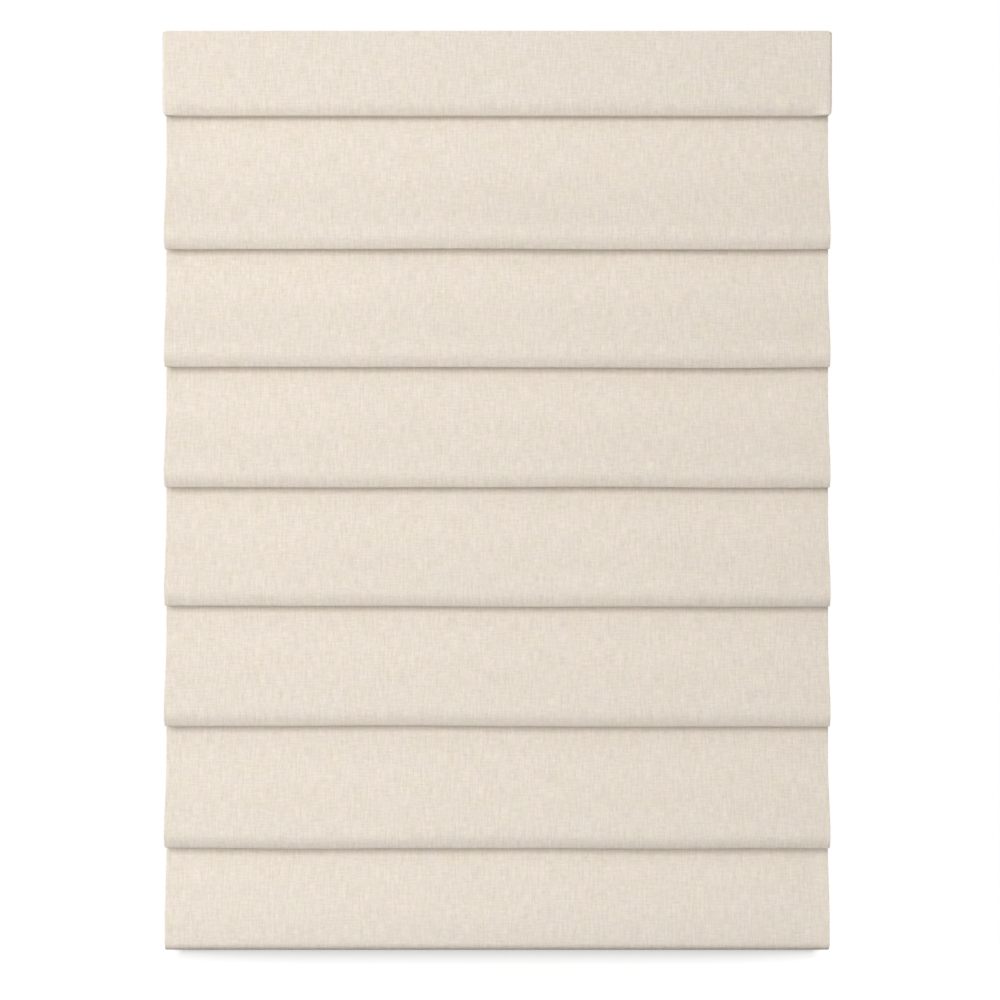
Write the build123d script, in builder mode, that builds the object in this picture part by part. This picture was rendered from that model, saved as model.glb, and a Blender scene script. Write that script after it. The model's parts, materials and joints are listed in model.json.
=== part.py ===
from build123d import *
import os
from math import acos, cos, pi, radians, sin, tan

os.makedirs("parts", exist_ok=True)

# A cordless roman blind with soft folds, in millimetres.
# The origin is the middle of the top mounting plane, +Z is up and the blind faces -Y.
# Distances named "out" are measured forward from the front plane of the flat cloth.

# Widths
valance_width = 914.0
valance_wall = 2.0
return_gap = 0.3
cloth_margin = 0.5
lining_inset = 4.5
rib_inset = 6.5
tape_inset = 2.0

# Heights of the cloth's forms
valance_top_gap = 1.0
valance_drop = 116.0
cloth_top_gap = 4.0
first_lip_drop = 297.0
fold_pitches = (161.5, 164.0, 162.5, 164.0, 166.5)
hem_drop = 140.5

# Cloth, lining and tape
cloth_thickness = 1.0
lining_thickness = 1.0
tape_thickness = 1.0
tape_height = 20.0
body_gap = 0.3

# Soft fold, measured from its lip
fold_depth = 31.0
lip_radius = 4.5
lip_width = 8.0
lean_depth = 4.0
lean_rise = 14.0
lean_radius = 25.0
crown_run = 15.0
crown_radius = 40.0
swell_run = 75.0
swell_radius = 90.0
stitch_rise = 32.0
stitch_radius = 0.5
rib_below_stitch = 5.0

# Valance
valance_gap = 27.6
roll_radius = 4.5
roll_width = 12.0
roll_rise = 24.0
valance_edge = 1.5

# Headrail
rail_depth = 50.0
rail_height = 36.0
rail_wall = 1.5
rail_lip = 8.0
rail_bend = 2.0
cap_flange = 2.0
cap_plug = 10.0
cap_wall = 1.5
cap_play = 0.15
cap_chamfer = 0.5

# Mounting brackets
bracket_end_distance = 157.0
bracket_length = 36.0
bracket_sheet = 2.0
bracket_margin = 3.0
bracket_corner = 3.0
hook_gap = 0.5
hook_reach = 5.0
hook_play = 0.3
screw_hole_radius = 2.25
screw_spacing = 16.0

# Valance clips
clip_end_distance = 77.0
clip_width = 20.0
clip_strip = 0.8
clip_play = 0.2
clip_reach = 5.0
clip_tongue = 24.0

# Lift shaft, spools and cradles
cord_end_distance = 117.0
shaft_drop = 21.0
shaft_square = 6.0
shaft_play = 0.1
shaft_overhang = 12.0
shaft_chamfer = 0.6
lift_travel = 880.0
spool_radius = 8.0
cord_diameter = 1.2
cord_lead = 1.4
spool_taper = 0.3
spool_flange_radius = 11.0
spool_flange = 2.0
spool_cone = 3.0
spool_cone_rise = 1.5
spool_end_flange_radius = 10.0
spool_end_flange = 1.2
journal_radius = 6.0
journal_play = 0.08
bearing_wall = 2.0
end_play = 0.3
cradle_base = 1.6
cradle_side = 1.6
cradle_side_height = 5.0
bearing_boss = 3.5
outlet_radius = 4.0
outlet_play = 0.05
outlet_flange = 2.0
outlet_flange_thickness = 1.2
outlet_stand = 0.8
outlet_bore_radius = 2.0
outlet_mouth = 0.6
cradle_outlet_play = 0.2

# Ribs
tape_strip = 0.5
rib_tape_height = 12.0
pocket_radius = 3.0
pocket_wall = 0.5
pocket_sink = 0.3
rod_radius = 2.25
rod_inset = 3.0
rod_chamfer = 0.45
eye_wall = 1.1
eye_play = 0.1
eye_length = 8.0
eye_height = 5.0
eye_radius = 3.4
eye_bore_radius = 2.0
eye_standoff = 2.9
anchor_height = 9.0
anchor_radius = 4.4
anchor_bore_radius = 0.8
anchor_pocket_radius = 2.6
anchor_pocket_depth = 6.0

# Spring motor
motor_x = 120.0
gear_module = 1.0
gear_teeth = 19
gear_backlash = 0.2
gear_spread = 0.05
gear_width = 6.0
gear_dedendum = 1.25
tooth_sink = 0.5
pressure_angle = 20.0
band_width = 18.0
band_strip = 0.3
band_play = 0.3
band_side_play = 0.5
output_build_up = 2.1
storage_build_up = 0.6
drum_flange = 1.2
drum_flange_radius = 9.2
axle_radius = 2.5
axle_fit = 0.02
axle_play = 0.06
axle_head = 1.0
axle_head_radius = 4.0
axle_chamfer = 0.5
case_wall = 1.5
case_clearance = 0.7
case_headroom = 2.0
case_corner = 2.0
cover_thickness = 1.5
cover_edge = 0.75
cover_rim_wall = 1.2
cover_rim_depth = 1.2
cover_play = 0.15

# Bottom bar and hem panel
bar_depth = 20.0
bar_height = 34.0
bar_wall = 1.5
bar_play = 0.3
bar_top_radius = 4.0
hem_layer_gap = 0.1
hem_flat = 1.0
hem_lean_start = 125.7
hem_lean_end = 50.0
hem_bend_radius = 60.0
hem_shoulder_radius = 95.0
plug_flange = 2.0
plug_depth = 14.0
plug_play = 0.15
plug_wall = 1.5
plug_chamfer = 0.5

# Places worked out from the sizes above
sides = (("left", -1), ("right", 1))
bracket_x = valance_width / 2 - bracket_end_distance
clip_x_end = valance_width / 2 - clip_end_distance
cord_x_end = valance_width / 2 - cord_end_distance
clip_xs = (-clip_x_end, 0, clip_x_end)
cord_xs = (-cord_x_end, 0, cord_x_end)
rail_front = -rail_depth / 2
cloth_back = rail_front - 2 * tape_thickness - lining_thickness
cloth_front = cloth_back - cloth_thickness
lining_back = cloth_back + lining_thickness
valance_inside = valance_width / 2 - valance_wall
valance_face_out = valance_gap + valance_wall
valance_back_out = cloth_front - rail_depth / 2
cloth_half = valance_inside - cloth_margin
lining_half = cloth_half - lining_inset
pocket_half = cloth_half - rib_inset
rod_half = pocket_half - rod_inset
cap_outside = valance_inside - return_gap
rail_half = cap_outside - cap_flange
rail_top = -bracket_sheet
rail_bottom = rail_top - rail_height
rail_floor = rail_bottom + rail_wall
rail_inside_half = rail_depth / 2 - rail_wall
rail_opening_half = rail_depth / 2 - rail_lip
lip_underside = rail_top - rail_wall
lip_out = fold_depth - lean_depth
heel_out = lip_out - lip_width
crown_rise = lean_rise + crown_run
swell_rise = crown_rise + swell_run
rib_rise = stitch_rise - rib_below_stitch
lip_zs = [-first_lip_drop - sum(fold_pitches[:fold]) for fold in range(len(fold_pitches) + 1)]
stitch_zs = [lip_z + stitch_rise for lip_z in lip_zs]
rib_zs = [lip_z + rib_rise for lip_z in lip_zs]
hem_bottom = lip_zs[-1] - hem_drop

rib_tape_front = lining_back + body_gap
rib_tape_back = rib_tape_front + tape_strip
pocket_y = rib_tape_back + pocket_radius - pocket_sink
cord_y = pocket_y + pocket_radius + eye_standoff
shaft_y = cord_y + spool_radius
shaft_z = -shaft_drop
gear_radius = gear_module * gear_teeth / 2
storage_y = shaft_y + 2 * gear_radius + gear_spread

# Side view of the cloth, whose x is the distance out and whose y is up
side_view = Plane(origin=(0, cloth_front, 0), x_dir=(0, -1, 0), z_dir=(-1, 0, 0))


def right_hand_corners(corners, distance):
    """Corners of the same bent line, moved to its right by a distance."""
    points = [Vector(*corner) for corner in corners]
    headings = [(after - before).normalized() for before, after in zip(points, points[1:])]
    rights = [Vector(heading.Y, -heading.X) for heading in headings]
    moved = [points[0] + rights[0] * distance]
    for point, right_in, right_out in zip(points[1:-1], rights, rights[1:]):
        between = right_in + right_out
        moved.append(point + between * (2 * distance / between.length**2))
    moved.append(points[-1] + rights[-1] * distance)
    return moved


def right_hand_radii(corners, radii, distance):
    """Bend radii of the same bent line, moved to its right: larger round left turns."""
    points = [Vector(*corner) for corner in corners]
    moved = []
    for before, point, after, radius in zip(points, points[1:], points[2:], radii):
        left_turn = (point - before).cross(after - point).Z > 0
        moved.append(radius + distance if left_turn else radius - distance)
    return moved


def sheet_section(plane, corners, radii, thickness):
    """Section of a bent sheet: one face follows the corners, the thickness lies to their right."""
    far_corners = right_hand_corners(corners, thickness)
    with BuildSketch(plane) as section:
        with BuildLine():
            near_line = FilletPolyline(*corners, radius=radii)
            far_radii = right_hand_radii(corners, radii, thickness)
            far_line = FilletPolyline(*far_corners, radius=far_radii)
            Line(near_line @ 0, far_line @ 0)
            Line(near_line @ 1, far_line @ 1)
        make_face()
    return section.sketch


def involute(angle):
    """Involute of an angle in radians."""
    return tan(angle) - angle


def gear_section(plane, turn):
    """Spur gear outline with involute flanks, its first tooth turned from the plane's x axis."""
    base_radius = gear_radius * cos(radians(pressure_angle))
    tip_radius = gear_radius + gear_module
    root_radius = gear_radius - gear_dedendum * gear_module
    half_tooth = (pi * gear_module / 2 - gear_backlash) / (2 * gear_radius)
    half_base = half_tooth + involute(radians(pressure_angle))
    flank_steps = 4
    flank = []
    for step in range(flank_steps + 1):
        radius = base_radius + (tip_radius - base_radius) * step / flank_steps
        angle = half_base - involute(acos(base_radius / radius))
        flank.append((radius * cos(angle), radius * sin(angle)))
    foot_radius = root_radius - tooth_sink
    foot = (foot_radius * cos(half_base), foot_radius * sin(half_base))
    with BuildSketch() as tooth:
        with BuildLine():
            Line(foot, flank[0])
            Spline(*flank)
            Line(flank[-1], (tip_radius, 0))
            mirror(about=Plane.XZ)
            Line(foot, (foot[0], -foot[1]))
        make_face()
    with BuildSketch(plane) as outline:
        Circle(root_radius)
        with PolarLocations(0, gear_teeth, start_angle=turn):
            add(tooth.sketch)
    return outline.sketch


def across(x, y, z):
    """Plane square to the blind's width, centred on a point of a shaft or rod."""
    return Plane(origin=(x, y, z), x_dir=(0, 1, 0), z_dir=(1, 0, 0))


# Headrail channel: rolled steel with in-turned lips and three cord outlets in its floor
with BuildPart() as headrail_channel:
    rail_corners = [
        (rail_opening_half, rail_top),
        (rail_depth / 2, rail_top),
        (rail_depth / 2, rail_bottom),
        (-rail_depth / 2, rail_bottom),
        (-rail_depth / 2, rail_top),
        (-rail_opening_half, rail_top),
    ]
    extrude(
        sheet_section(Plane.YZ, rail_corners, [rail_bend] * 4, rail_wall), amount=rail_half, both=True
    )
    with BuildSketch(Plane.XY.offset(rail_bottom)):
        with Locations(*[(cord_x, cord_y) for cord_x in cord_xs]):
            Circle(outlet_radius + outlet_play)
    extrude(amount=rail_wall, mode=Mode.SUBTRACT)
headrail_channel.part.label = "headrail_channel"
export_step(headrail_channel.part, "parts/headrail_channel.step")

# End caps: a flange over the channel's end and a hollow plug inside it
for side_name, side in sides:
    with BuildPart() as end_cap:
        with BuildSketch(Plane.YZ.offset(side * rail_half)):
            with Locations((0, rail_top - rail_height / 2)):
                RectangleRounded(rail_depth, rail_height, rail_bend)
        extrude(amount=side * cap_flange)
        plug_top = lip_underside - cap_play
        plug_bottom = rail_floor + cap_play
        plug_half = rail_inside_half - cap_play
        with BuildSketch(Plane.YZ.offset(side * rail_half)):
            with Locations((0, (plug_top + plug_bottom) / 2)):
                Rectangle(2 * plug_half, plug_top - plug_bottom)
                Rectangle(
                    2 * (plug_half - cap_wall), plug_top - plug_bottom - 2 * cap_wall, mode=Mode.SUBTRACT
                )
        extrude(amount=-side * cap_plug)
        outer_rim = end_cap.faces().sort_by(Axis.X)[-1 if side > 0 else 0].outer_wire().edges()
        chamfer(outer_rim, length=cap_chamfer)
    end_cap.part.label = f"end_cap_{side_name}"
    export_step(end_cap.part, f"parts/end_cap_{side_name}.step")

# Mounting brackets: a screwed plate whose two feet hook under the channel's lips
leg_outer = rail_opening_half - hook_gap
leg_inner = leg_outer - bracket_sheet
foot_top = lip_underside - hook_play
plate_half = rail_depth / 2 - bracket_margin
for side_name, side in sides:
    with BuildPart() as bracket:
        with BuildSketch(Plane.YZ.offset(side * bracket_x)):
            with BuildLine():
                Polyline(
                    (0, 0),
                    (plate_half, 0),
                    (plate_half, rail_top),
                    (leg_outer, rail_top),
                    (leg_outer, foot_top),
                    (leg_outer + hook_reach, foot_top),
                    (leg_outer + hook_reach, foot_top - bracket_sheet),
                    (leg_inner, foot_top - bracket_sheet),
                    (leg_inner, rail_top),
                    (0, rail_top),
                )
                mirror(about=Plane.YZ)
            make_face()
        extrude(amount=bracket_length / 2, both=True)
        plate_corners = bracket.edges().filter_by(Axis.Z).group_by(Axis.Z)[-1]
        fillet(plate_corners, radius=bracket_corner)
        with Locations(Plane((side * bracket_x, 0, 0))):
            with GridLocations(0, screw_spacing, 1, 2):
                Hole(screw_hole_radius, depth=bracket_sheet)
    bracket.part.label = f"bracket_{side_name}"
    export_step(bracket.part, f"parts/bracket_{side_name}.step")

# Hook tape stuck to the headrail and loop tape sewn to the top of the cloth
for layer, tape_name in enumerate(("hook_tape", "loop_tape")):
    tape_y = rail_front - layer * tape_thickness - tape_thickness / 2
    with BuildPart() as tape:
        with Locations((0, tape_y, -cloth_top_gap - tape_height / 2)):
            Box(2 * (rail_half - tape_inset), tape_thickness, tape_height)
    tape.part.label = tape_name
    export_step(tape.part, f"parts/{tape_name}.step")

# Valance: a stiffened band rolled under at its lower edge, with returns round the headrail's ends
roll_front_out = valance_face_out - lean_depth
roll_back_out = roll_front_out - roll_width
lean_z = -valance_drop + lean_rise
with BuildPart() as valance:
    valance_corners = [
        (valance_face_out, -valance_top_gap),
        (valance_face_out, lean_z),
        (roll_front_out, -valance_drop),
        (roll_back_out, -valance_drop),
        (roll_back_out, -valance_drop + roll_rise),
    ]
    valance_radii = [lean_radius, roll_radius, roll_radius]
    extrude(
        sheet_section(side_view, valance_corners, valance_radii, valance_wall),
        amount=valance_inside,
        both=True,
    )
    with BuildSketch(side_view.offset(valance_inside)):
        with BuildLine():
            return_front = FilletPolyline(
                (valance_back_out, -valance_drop),
                (roll_front_out, -valance_drop),
                (valance_face_out, lean_z),
                (valance_face_out, -valance_top_gap),
                radius=(roll_radius, lean_radius),
            )
            Polyline(return_front @ 1, (valance_back_out, -valance_top_gap), return_front @ 0)
        make_face()
    return_plate = extrude(amount=valance_wall)
    mirror(return_plate, about=Plane.YZ)
    front_rims = valance.edges().filter_by(Axis.Z).group_by(Axis.Y)[0]
    fillet(front_rims, radius=valance_edge)
valance.part.label = "valance"
export_step(valance.part, "parts/valance.step")

# Valance clips: spring strips from the channel's front lip to the back of the valance
strip_back = cloth_front - valance_gap + clip_strip
clip_hook_y = -rail_opening_half + clip_play
with BuildPart() as valance_clips:
    for clip_x in clip_xs:
        clip_corners = [
            (clip_hook_y - clip_reach, lip_underside - clip_play),
            (clip_hook_y, lip_underside - clip_play),
            (clip_hook_y, rail_top),
            (strip_back, rail_top),
            (strip_back, rail_top - clip_tongue),
        ]
        extrude(
            sheet_section(Plane.YZ.offset(clip_x), clip_corners, [clip_play] * 3, clip_strip),
            amount=clip_width / 2,
            both=True,
        )
valance_clips.part.label = "valance_clips"
export_step(valance_clips.part, "parts/valance_clips.step")

# Face fabric: one cloth that swells, turns under at its lip and is stitched back at each rib
with BuildPart() as face_fabric:
    cloth_corners = [(0, -cloth_top_gap)]
    cloth_radii = []
    for lip_z, stitch_z in zip(lip_zs, stitch_zs):
        cloth_corners += [
            (0, lip_z + swell_rise),
            (fold_depth, lip_z + crown_rise),
            (fold_depth, lip_z + lean_rise),
            (lip_out, lip_z),
            (heel_out, lip_z),
            (0, stitch_z),
        ]
        cloth_radii += [swell_radius, crown_radius, lean_radius, lip_radius, lip_radius, stitch_radius]
    cloth_corners[-1] = (body_gap, stitch_zs[-1])
    extrude(
        sheet_section(side_view, cloth_corners, cloth_radii[:-1], cloth_thickness),
        amount=cloth_half,
        both=True,
    )
face_fabric.part.label = "face_fabric"
export_step(face_fabric.part, "parts/face_fabric.step")

# Lining: a flat cloth from the headrail to the lowest rib
lining_bottom = stitch_zs[-1] + body_gap
lining_height = -cloth_top_gap - lining_bottom
with BuildPart() as lining:
    with Locations((0, (cloth_back + lining_back) / 2, -cloth_top_gap - lining_height / 2)):
        Box(2 * lining_half, lining_thickness, lining_height)
lining.part.label = "lining"
export_step(lining.part, "parts/lining.step")

# Spool cradles: two bearing walls on a tray that fits across the channel
winding_turns = lift_travel / (2 * pi * spool_radius)
winding_length = (winding_turns + 1) * cord_lead
spool_body = spool_flange + spool_cone + winding_length + spool_end_flange
cord_entry = end_play + spool_flange + spool_cone + cord_diameter
cradle_names = ("left", "centre", "right")
for cradle_name, cord_x in zip(cradle_names, cord_xs):
    wall_x = cord_x - cord_entry - bearing_wall
    cradle_length = spool_body + 2 * (end_play + bearing_wall)
    base_half = rail_inside_half - body_gap - (rail_bend - rail_wall)
    with BuildPart() as spool_cradle:
        with BuildSketch(Plane.YZ.offset(wall_x)):
            with Locations((0, rail_floor + cradle_base / 2)):
                Rectangle(2 * base_half, cradle_base)
        extrude(amount=cradle_length)
        with BuildSketch(Plane.YZ.offset(wall_x)):
            with Locations((0, rail_floor + cradle_side_height / 2)):
                with GridLocations(2 * base_half - cradle_side, 0, 2, 1):
                    Rectangle(cradle_side, cradle_side_height)
        extrude(amount=cradle_length)
        with BuildSketch(
            Plane.YZ.offset(wall_x), Plane.YZ.offset(wall_x + cradle_length - bearing_wall)
        ):
            with Locations((shaft_y, shaft_z)):
                Circle(journal_radius + bearing_boss)
            with Locations((0, rail_floor + cradle_base)):
                Rectangle(2 * base_half, cradle_base)
            make_hull()
            with Locations((shaft_y, shaft_z)):
                Circle(journal_radius + journal_play, mode=Mode.SUBTRACT)
            with Locations((0, rail_floor - cradle_base)):
                Rectangle(2 * rail_depth, 2 * cradle_base, mode=Mode.SUBTRACT)
        extrude(amount=bearing_wall)
        with BuildSketch(Plane.XY.offset(rail_floor)):
            with Locations((cord_x, cord_y)):
                Circle(outlet_radius + cradle_outlet_play)
        extrude(amount=cradle_base, mode=Mode.SUBTRACT)
    spool_cradle.part.label = f"spool_cradle_{cradle_name}"
    export_step(spool_cradle.part, f"parts/spool_cradle_{cradle_name}.step")

# Cord outlet bushes: flanged plastic rings in the channel's floor
with BuildPart() as cord_bushes:
    for cord_x in cord_xs:
        with BuildSketch(Plane((cord_x, cord_y, rail_bottom - outlet_flange_thickness))):
            Circle(outlet_radius + outlet_flange)
        extrude(amount=outlet_flange_thickness)
        with BuildSketch(Plane((cord_x, cord_y, rail_bottom))):
            Circle(outlet_radius)
        extrude(amount=rail_wall + outlet_stand)
        with BuildSketch(Plane((cord_x, cord_y, rail_bottom - outlet_flange_thickness))):
            Circle(outlet_bore_radius)
        extrude(amount=outlet_flange_thickness + rail_wall + cradle_base, mode=Mode.SUBTRACT)
    mouths = cord_bushes.faces().group_by(Axis.Z)[0].edges().filter_by(GeomType.CIRCLE)
    fillet(mouths.filter_by(lambda edge: edge.radius < outlet_radius), radius=outlet_mouth)
cord_bushes.part.label = "cord_bushes"
export_step(cord_bushes.part, "parts/cord_bushes.step")

# Lift shaft: a square steel rod through the three spools and the spring motor
shaft_left = cord_xs[0] - cord_entry - bearing_wall - shaft_overhang
shaft_right = cord_xs[-1] - cord_entry + spool_body + 2 * end_play + bearing_wall + shaft_overhang
with BuildPart() as lift_shaft:
    with BuildSketch(across(shaft_left, shaft_y, shaft_z)):
        Rectangle(shaft_square, shaft_square)
    extrude(amount=shaft_right - shaft_left)
    shaft_ends = lift_shaft.faces().filter_by(Axis.X).edges()
    chamfer(shaft_ends, length=shaft_chamfer)
lift_shaft.part.label = "lift_shaft"
export_step(lift_shaft.part, "parts/lift_shaft.step")

# Lift spools: a shoulder cone that pushes each turn of cord along a slightly tapered barrel
for spool_name, cord_x in zip(cradle_names, cord_xs):
    body_start = bearing_wall + end_play
    cone_start = body_start + spool_flange
    barrel_start = cone_start + spool_cone
    barrel_end = barrel_start + winding_length
    body_end = barrel_end + spool_end_flange
    spool_end = body_end + end_play + bearing_wall
    spool_plane = Plane(
        origin=(cord_x - cord_entry - bearing_wall, shaft_y, shaft_z), x_dir=(1, 0, 0), z_dir=(0, -1, 0)
    )
    with BuildPart() as lift_spool:
        with BuildSketch(spool_plane):
            with BuildLine():
                Polyline(
                    (0, 0),
                    (0, journal_radius),
                    (body_start, journal_radius),
                    (body_start, spool_flange_radius),
                    (cone_start, spool_flange_radius),
                    (cone_start, spool_radius + spool_cone_rise),
                    (barrel_start, spool_radius),
                    (barrel_end, spool_radius - spool_taper),
                    (barrel_end, spool_end_flange_radius),
                    (body_end, spool_end_flange_radius),
                    (body_end, journal_radius),
                    (spool_end, journal_radius),
                    (spool_end, 0),
                    close=True,
                )
            make_face()
        revolve(axis=Axis((0, shaft_y, shaft_z), (1, 0, 0)))
        with BuildSketch(across(spool_plane.origin.X, shaft_y, shaft_z)):
            Rectangle(shaft_square + 2 * shaft_play, shaft_square + 2 * shaft_play)
        extrude(amount=spool_end, mode=Mode.SUBTRACT)
    lift_spool.part.label = f"lift_spool_{spool_name}"
    export_step(lift_spool.part, f"parts/lift_spool_{spool_name}.step")

# Spring motor, along X: wall, gear, band, flange, wall
gear_x = motor_x + case_wall + end_play
band_x = gear_x + gear_width
flange_x = band_x + band_width + 2 * band_side_play
motor_inside_end = flange_x + drum_flange + end_play
motor_end = motor_inside_end + case_wall
gear_tip = gear_radius + gear_module
case_front = shaft_y - gear_tip - case_clearance - case_wall
case_back = storage_y + gear_tip + case_clearance + case_wall
case_top = shaft_z + gear_tip + case_headroom

# Output drum: turns with the shaft and winds the spring band onto its core
with BuildPart() as motor_output_drum:
    with BuildSketch(across(motor_x, shaft_y, shaft_z)):
        Circle(journal_radius)
    extrude(amount=motor_end - motor_x)
    extrude(gear_section(across(gear_x, shaft_y, shaft_z), 0), amount=gear_width)
    with BuildSketch(across(flange_x, shaft_y, shaft_z)):
        Circle(drum_flange_radius)
    extrude(amount=drum_flange)
    with BuildSketch(across(motor_x, shaft_y, shaft_z)):
        Rectangle(shaft_square + 2 * shaft_play, shaft_square + 2 * shaft_play)
    extrude(amount=motor_end - motor_x, mode=Mode.SUBTRACT)
motor_output_drum.part.label = "motor_output_drum"
export_step(motor_output_drum.part, "parts/motor_output_drum.step")

# Storage drum: runs on its own axle and meshes with the output drum one to one
storage_turn = 180 + 180 / gear_teeth
with BuildPart() as motor_storage_drum:
    with BuildSketch(across(gear_x, storage_y, shaft_z)):
        Circle(journal_radius)
    extrude(amount=flange_x - gear_x)
    extrude(gear_section(across(gear_x, storage_y, shaft_z), storage_turn), amount=gear_width)
    with BuildSketch(across(flange_x, storage_y, shaft_z)):
        Circle(drum_flange_radius)
    extrude(amount=drum_flange)
    with BuildSketch(across(gear_x, storage_y, shaft_z)):
        Circle(axle_radius + axle_play)
    extrude(amount=motor_end - gear_x, mode=Mode.SUBTRACT)
motor_storage_drum.part.label = "motor_storage_drum"
export_step(motor_storage_drum.part, "parts/motor_storage_drum.step")

# Storage axle: a headed pin through both end walls of the case
with BuildPart() as storage_axle:
    with BuildSketch(across(motor_x, storage_y, shaft_z)):
        Circle(axle_radius)
    extrude(amount=motor_end - motor_x)
    with BuildSketch(across(motor_x - axle_head, storage_y, shaft_z)):
        Circle(axle_head_radius)
    extrude(amount=axle_head)
    chamfer(storage_axle.edges().sort_by(Axis.X)[-1], length=axle_chamfer)
storage_axle.part.label = "storage_axle"
export_step(storage_axle.part, "parts/storage_axle.step")

# Spring band: coiled on both drums, with the stretch that crosses from one to the other
coil_inner = journal_radius + band_play
output_coil = coil_inner + output_build_up
storage_coil = coil_inner + storage_build_up
cross_reach_out = output_coil - band_strip / 2
cross_reach_in = storage_coil - band_strip / 2
cross_angle = acos((cross_reach_out + cross_reach_in) / (storage_y - shaft_y))
cross_direction = Vector(cos(cross_angle), sin(cross_angle))
with BuildPart() as spring_band:
    with BuildSketch(Plane.YZ.offset(band_x + band_side_play)):
        with BuildLine():
            Line(
                Vector(shaft_y, shaft_z) + cross_direction * cross_reach_out,
                Vector(storage_y, shaft_z) - cross_direction * cross_reach_in,
            )
        trace(line_width=band_strip)
        with Locations((shaft_y, shaft_z)):
            Circle(output_coil)
            Circle(coil_inner, mode=Mode.SUBTRACT)
        with Locations((storage_y, shaft_z)):
            Circle(storage_coil)
            Circle(coil_inner, mode=Mode.SUBTRACT)
    extrude(amount=band_width)
spring_band.part.label = "spring_band"
export_step(spring_band.part, "parts/spring_band.step")

# Motor case: an open tray on the channel's floor with bearing holes in its end walls
with BuildPart() as motor_case:
    with BuildSketch(Plane.XY.offset(rail_floor)):
        with Locations(((motor_x + motor_end) / 2, (case_front + case_back) / 2)):
            RectangleRounded(motor_end - motor_x, case_back - case_front, case_corner)
    extrude(amount=case_top - rail_floor)
    offset(openings=motor_case.faces().sort_by(Axis.Z)[-1], amount=-case_wall)
    with BuildSketch(across(motor_x, shaft_y, shaft_z)):
        Circle(journal_radius + journal_play)
        with Locations((storage_y - shaft_y, 0)):
            Circle(axle_radius + axle_fit)
    extrude(amount=motor_end - motor_x, mode=Mode.SUBTRACT)
motor_case.part.label = "motor_case"
export_step(motor_case.part, "parts/motor_case.step")

# Motor cover: a lid whose rim drops inside the case
with BuildPart() as motor_cover:
    with BuildSketch(Plane.XY.offset(case_top)):
        with Locations(((motor_x + motor_end) / 2, (case_front + case_back) / 2)):
            RectangleRounded(motor_end - motor_x, case_back - case_front, case_corner)
    extrude(amount=cover_thickness)
    fillet(motor_cover.edges().group_by(Axis.Z)[-1], radius=cover_edge)
    rim_long = motor_end - motor_x - 2 * (case_wall + cover_play)
    rim_deep = case_back - case_front - 2 * (case_wall + cover_play)
    rim_inner_corner = case_corner - case_wall
    with BuildSketch(Plane.XY.offset(case_top)):
        with Locations(((motor_x + motor_end) / 2, (case_front + case_back) / 2)):
            RectangleRounded(rim_long, rim_deep, rim_inner_corner)
            Rectangle(rim_long - 2 * cover_rim_wall, rim_deep - 2 * cover_rim_wall, mode=Mode.SUBTRACT)
    extrude(amount=-cover_rim_depth)
motor_cover.part.label = "motor_cover"
export_step(motor_cover.part, "parts/motor_cover.step")

# Ribs: a rod in a pocket tape behind the lining, with cord eyes clipped on the pocket
for number, rib_z in enumerate(rib_zs, start=1):
    with BuildPart() as rib_pocket:
        with BuildSketch(across(0, pocket_y, rib_z)):
            with Locations(((rib_tape_front + rib_tape_back) / 2 - pocket_y, 0)):
                Rectangle(tape_strip, rib_tape_height)
            Circle(pocket_radius)
            Circle(pocket_radius - pocket_wall, mode=Mode.SUBTRACT)
        extrude(amount=pocket_half, both=True)
    rib_pocket.part.label = f"rib_pocket_{number}"
    export_step(rib_pocket.part, f"parts/rib_pocket_{number}.step")

    with BuildPart() as rib_rod:
        with BuildSketch(across(0, pocket_y, rib_z)):
            Circle(rod_radius)
        extrude(amount=rod_half, both=True)
        chamfer(rib_rod.edges().filter_by(GeomType.CIRCLE), length=rod_chamfer)
    rib_rod.part.label = f"rib_rod_{number}"
    export_step(rib_rod.part, f"parts/rib_rod_{number}.step")

saddle_inner = pocket_radius + eye_play
saddle_outer = saddle_inner + eye_wall
for number, rib_z in enumerate(rib_zs[:-1], start=1):
    with BuildPart() as cord_eyes:
        for cord_x in cord_xs:
            with BuildSketch(across(cord_x, pocket_y, rib_z)):
                Circle(saddle_outer)
                Circle(saddle_inner, mode=Mode.SUBTRACT)
                with Locations((-saddle_outer, 0)):
                    Rectangle(2 * saddle_outer, 2 * saddle_outer, mode=Mode.SUBTRACT)
            extrude(amount=eye_length / 2, both=True)
            with BuildSketch(Plane((cord_x, cord_y, rib_z - eye_height / 2))):
                Circle(eye_radius)
                with Locations((0, (pocket_y + saddle_inner - cord_y) / 2)):
                    Rectangle(eye_radius, cord_y - pocket_y - saddle_inner)
            extrude(amount=eye_height)
            with BuildSketch(across(cord_x, pocket_y, rib_z)):
                Circle(saddle_inner)
            extrude(amount=eye_length, both=True, mode=Mode.SUBTRACT)
            with BuildSketch(Plane((cord_x, cord_y, rib_z - eye_height / 2))):
                Circle(eye_bore_radius)
            extrude(amount=eye_height, mode=Mode.SUBTRACT)
    cord_eyes.part.label = f"cord_eyes_{number}"
    export_step(cord_eyes.part, f"parts/cord_eyes_{number}.step")

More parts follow.
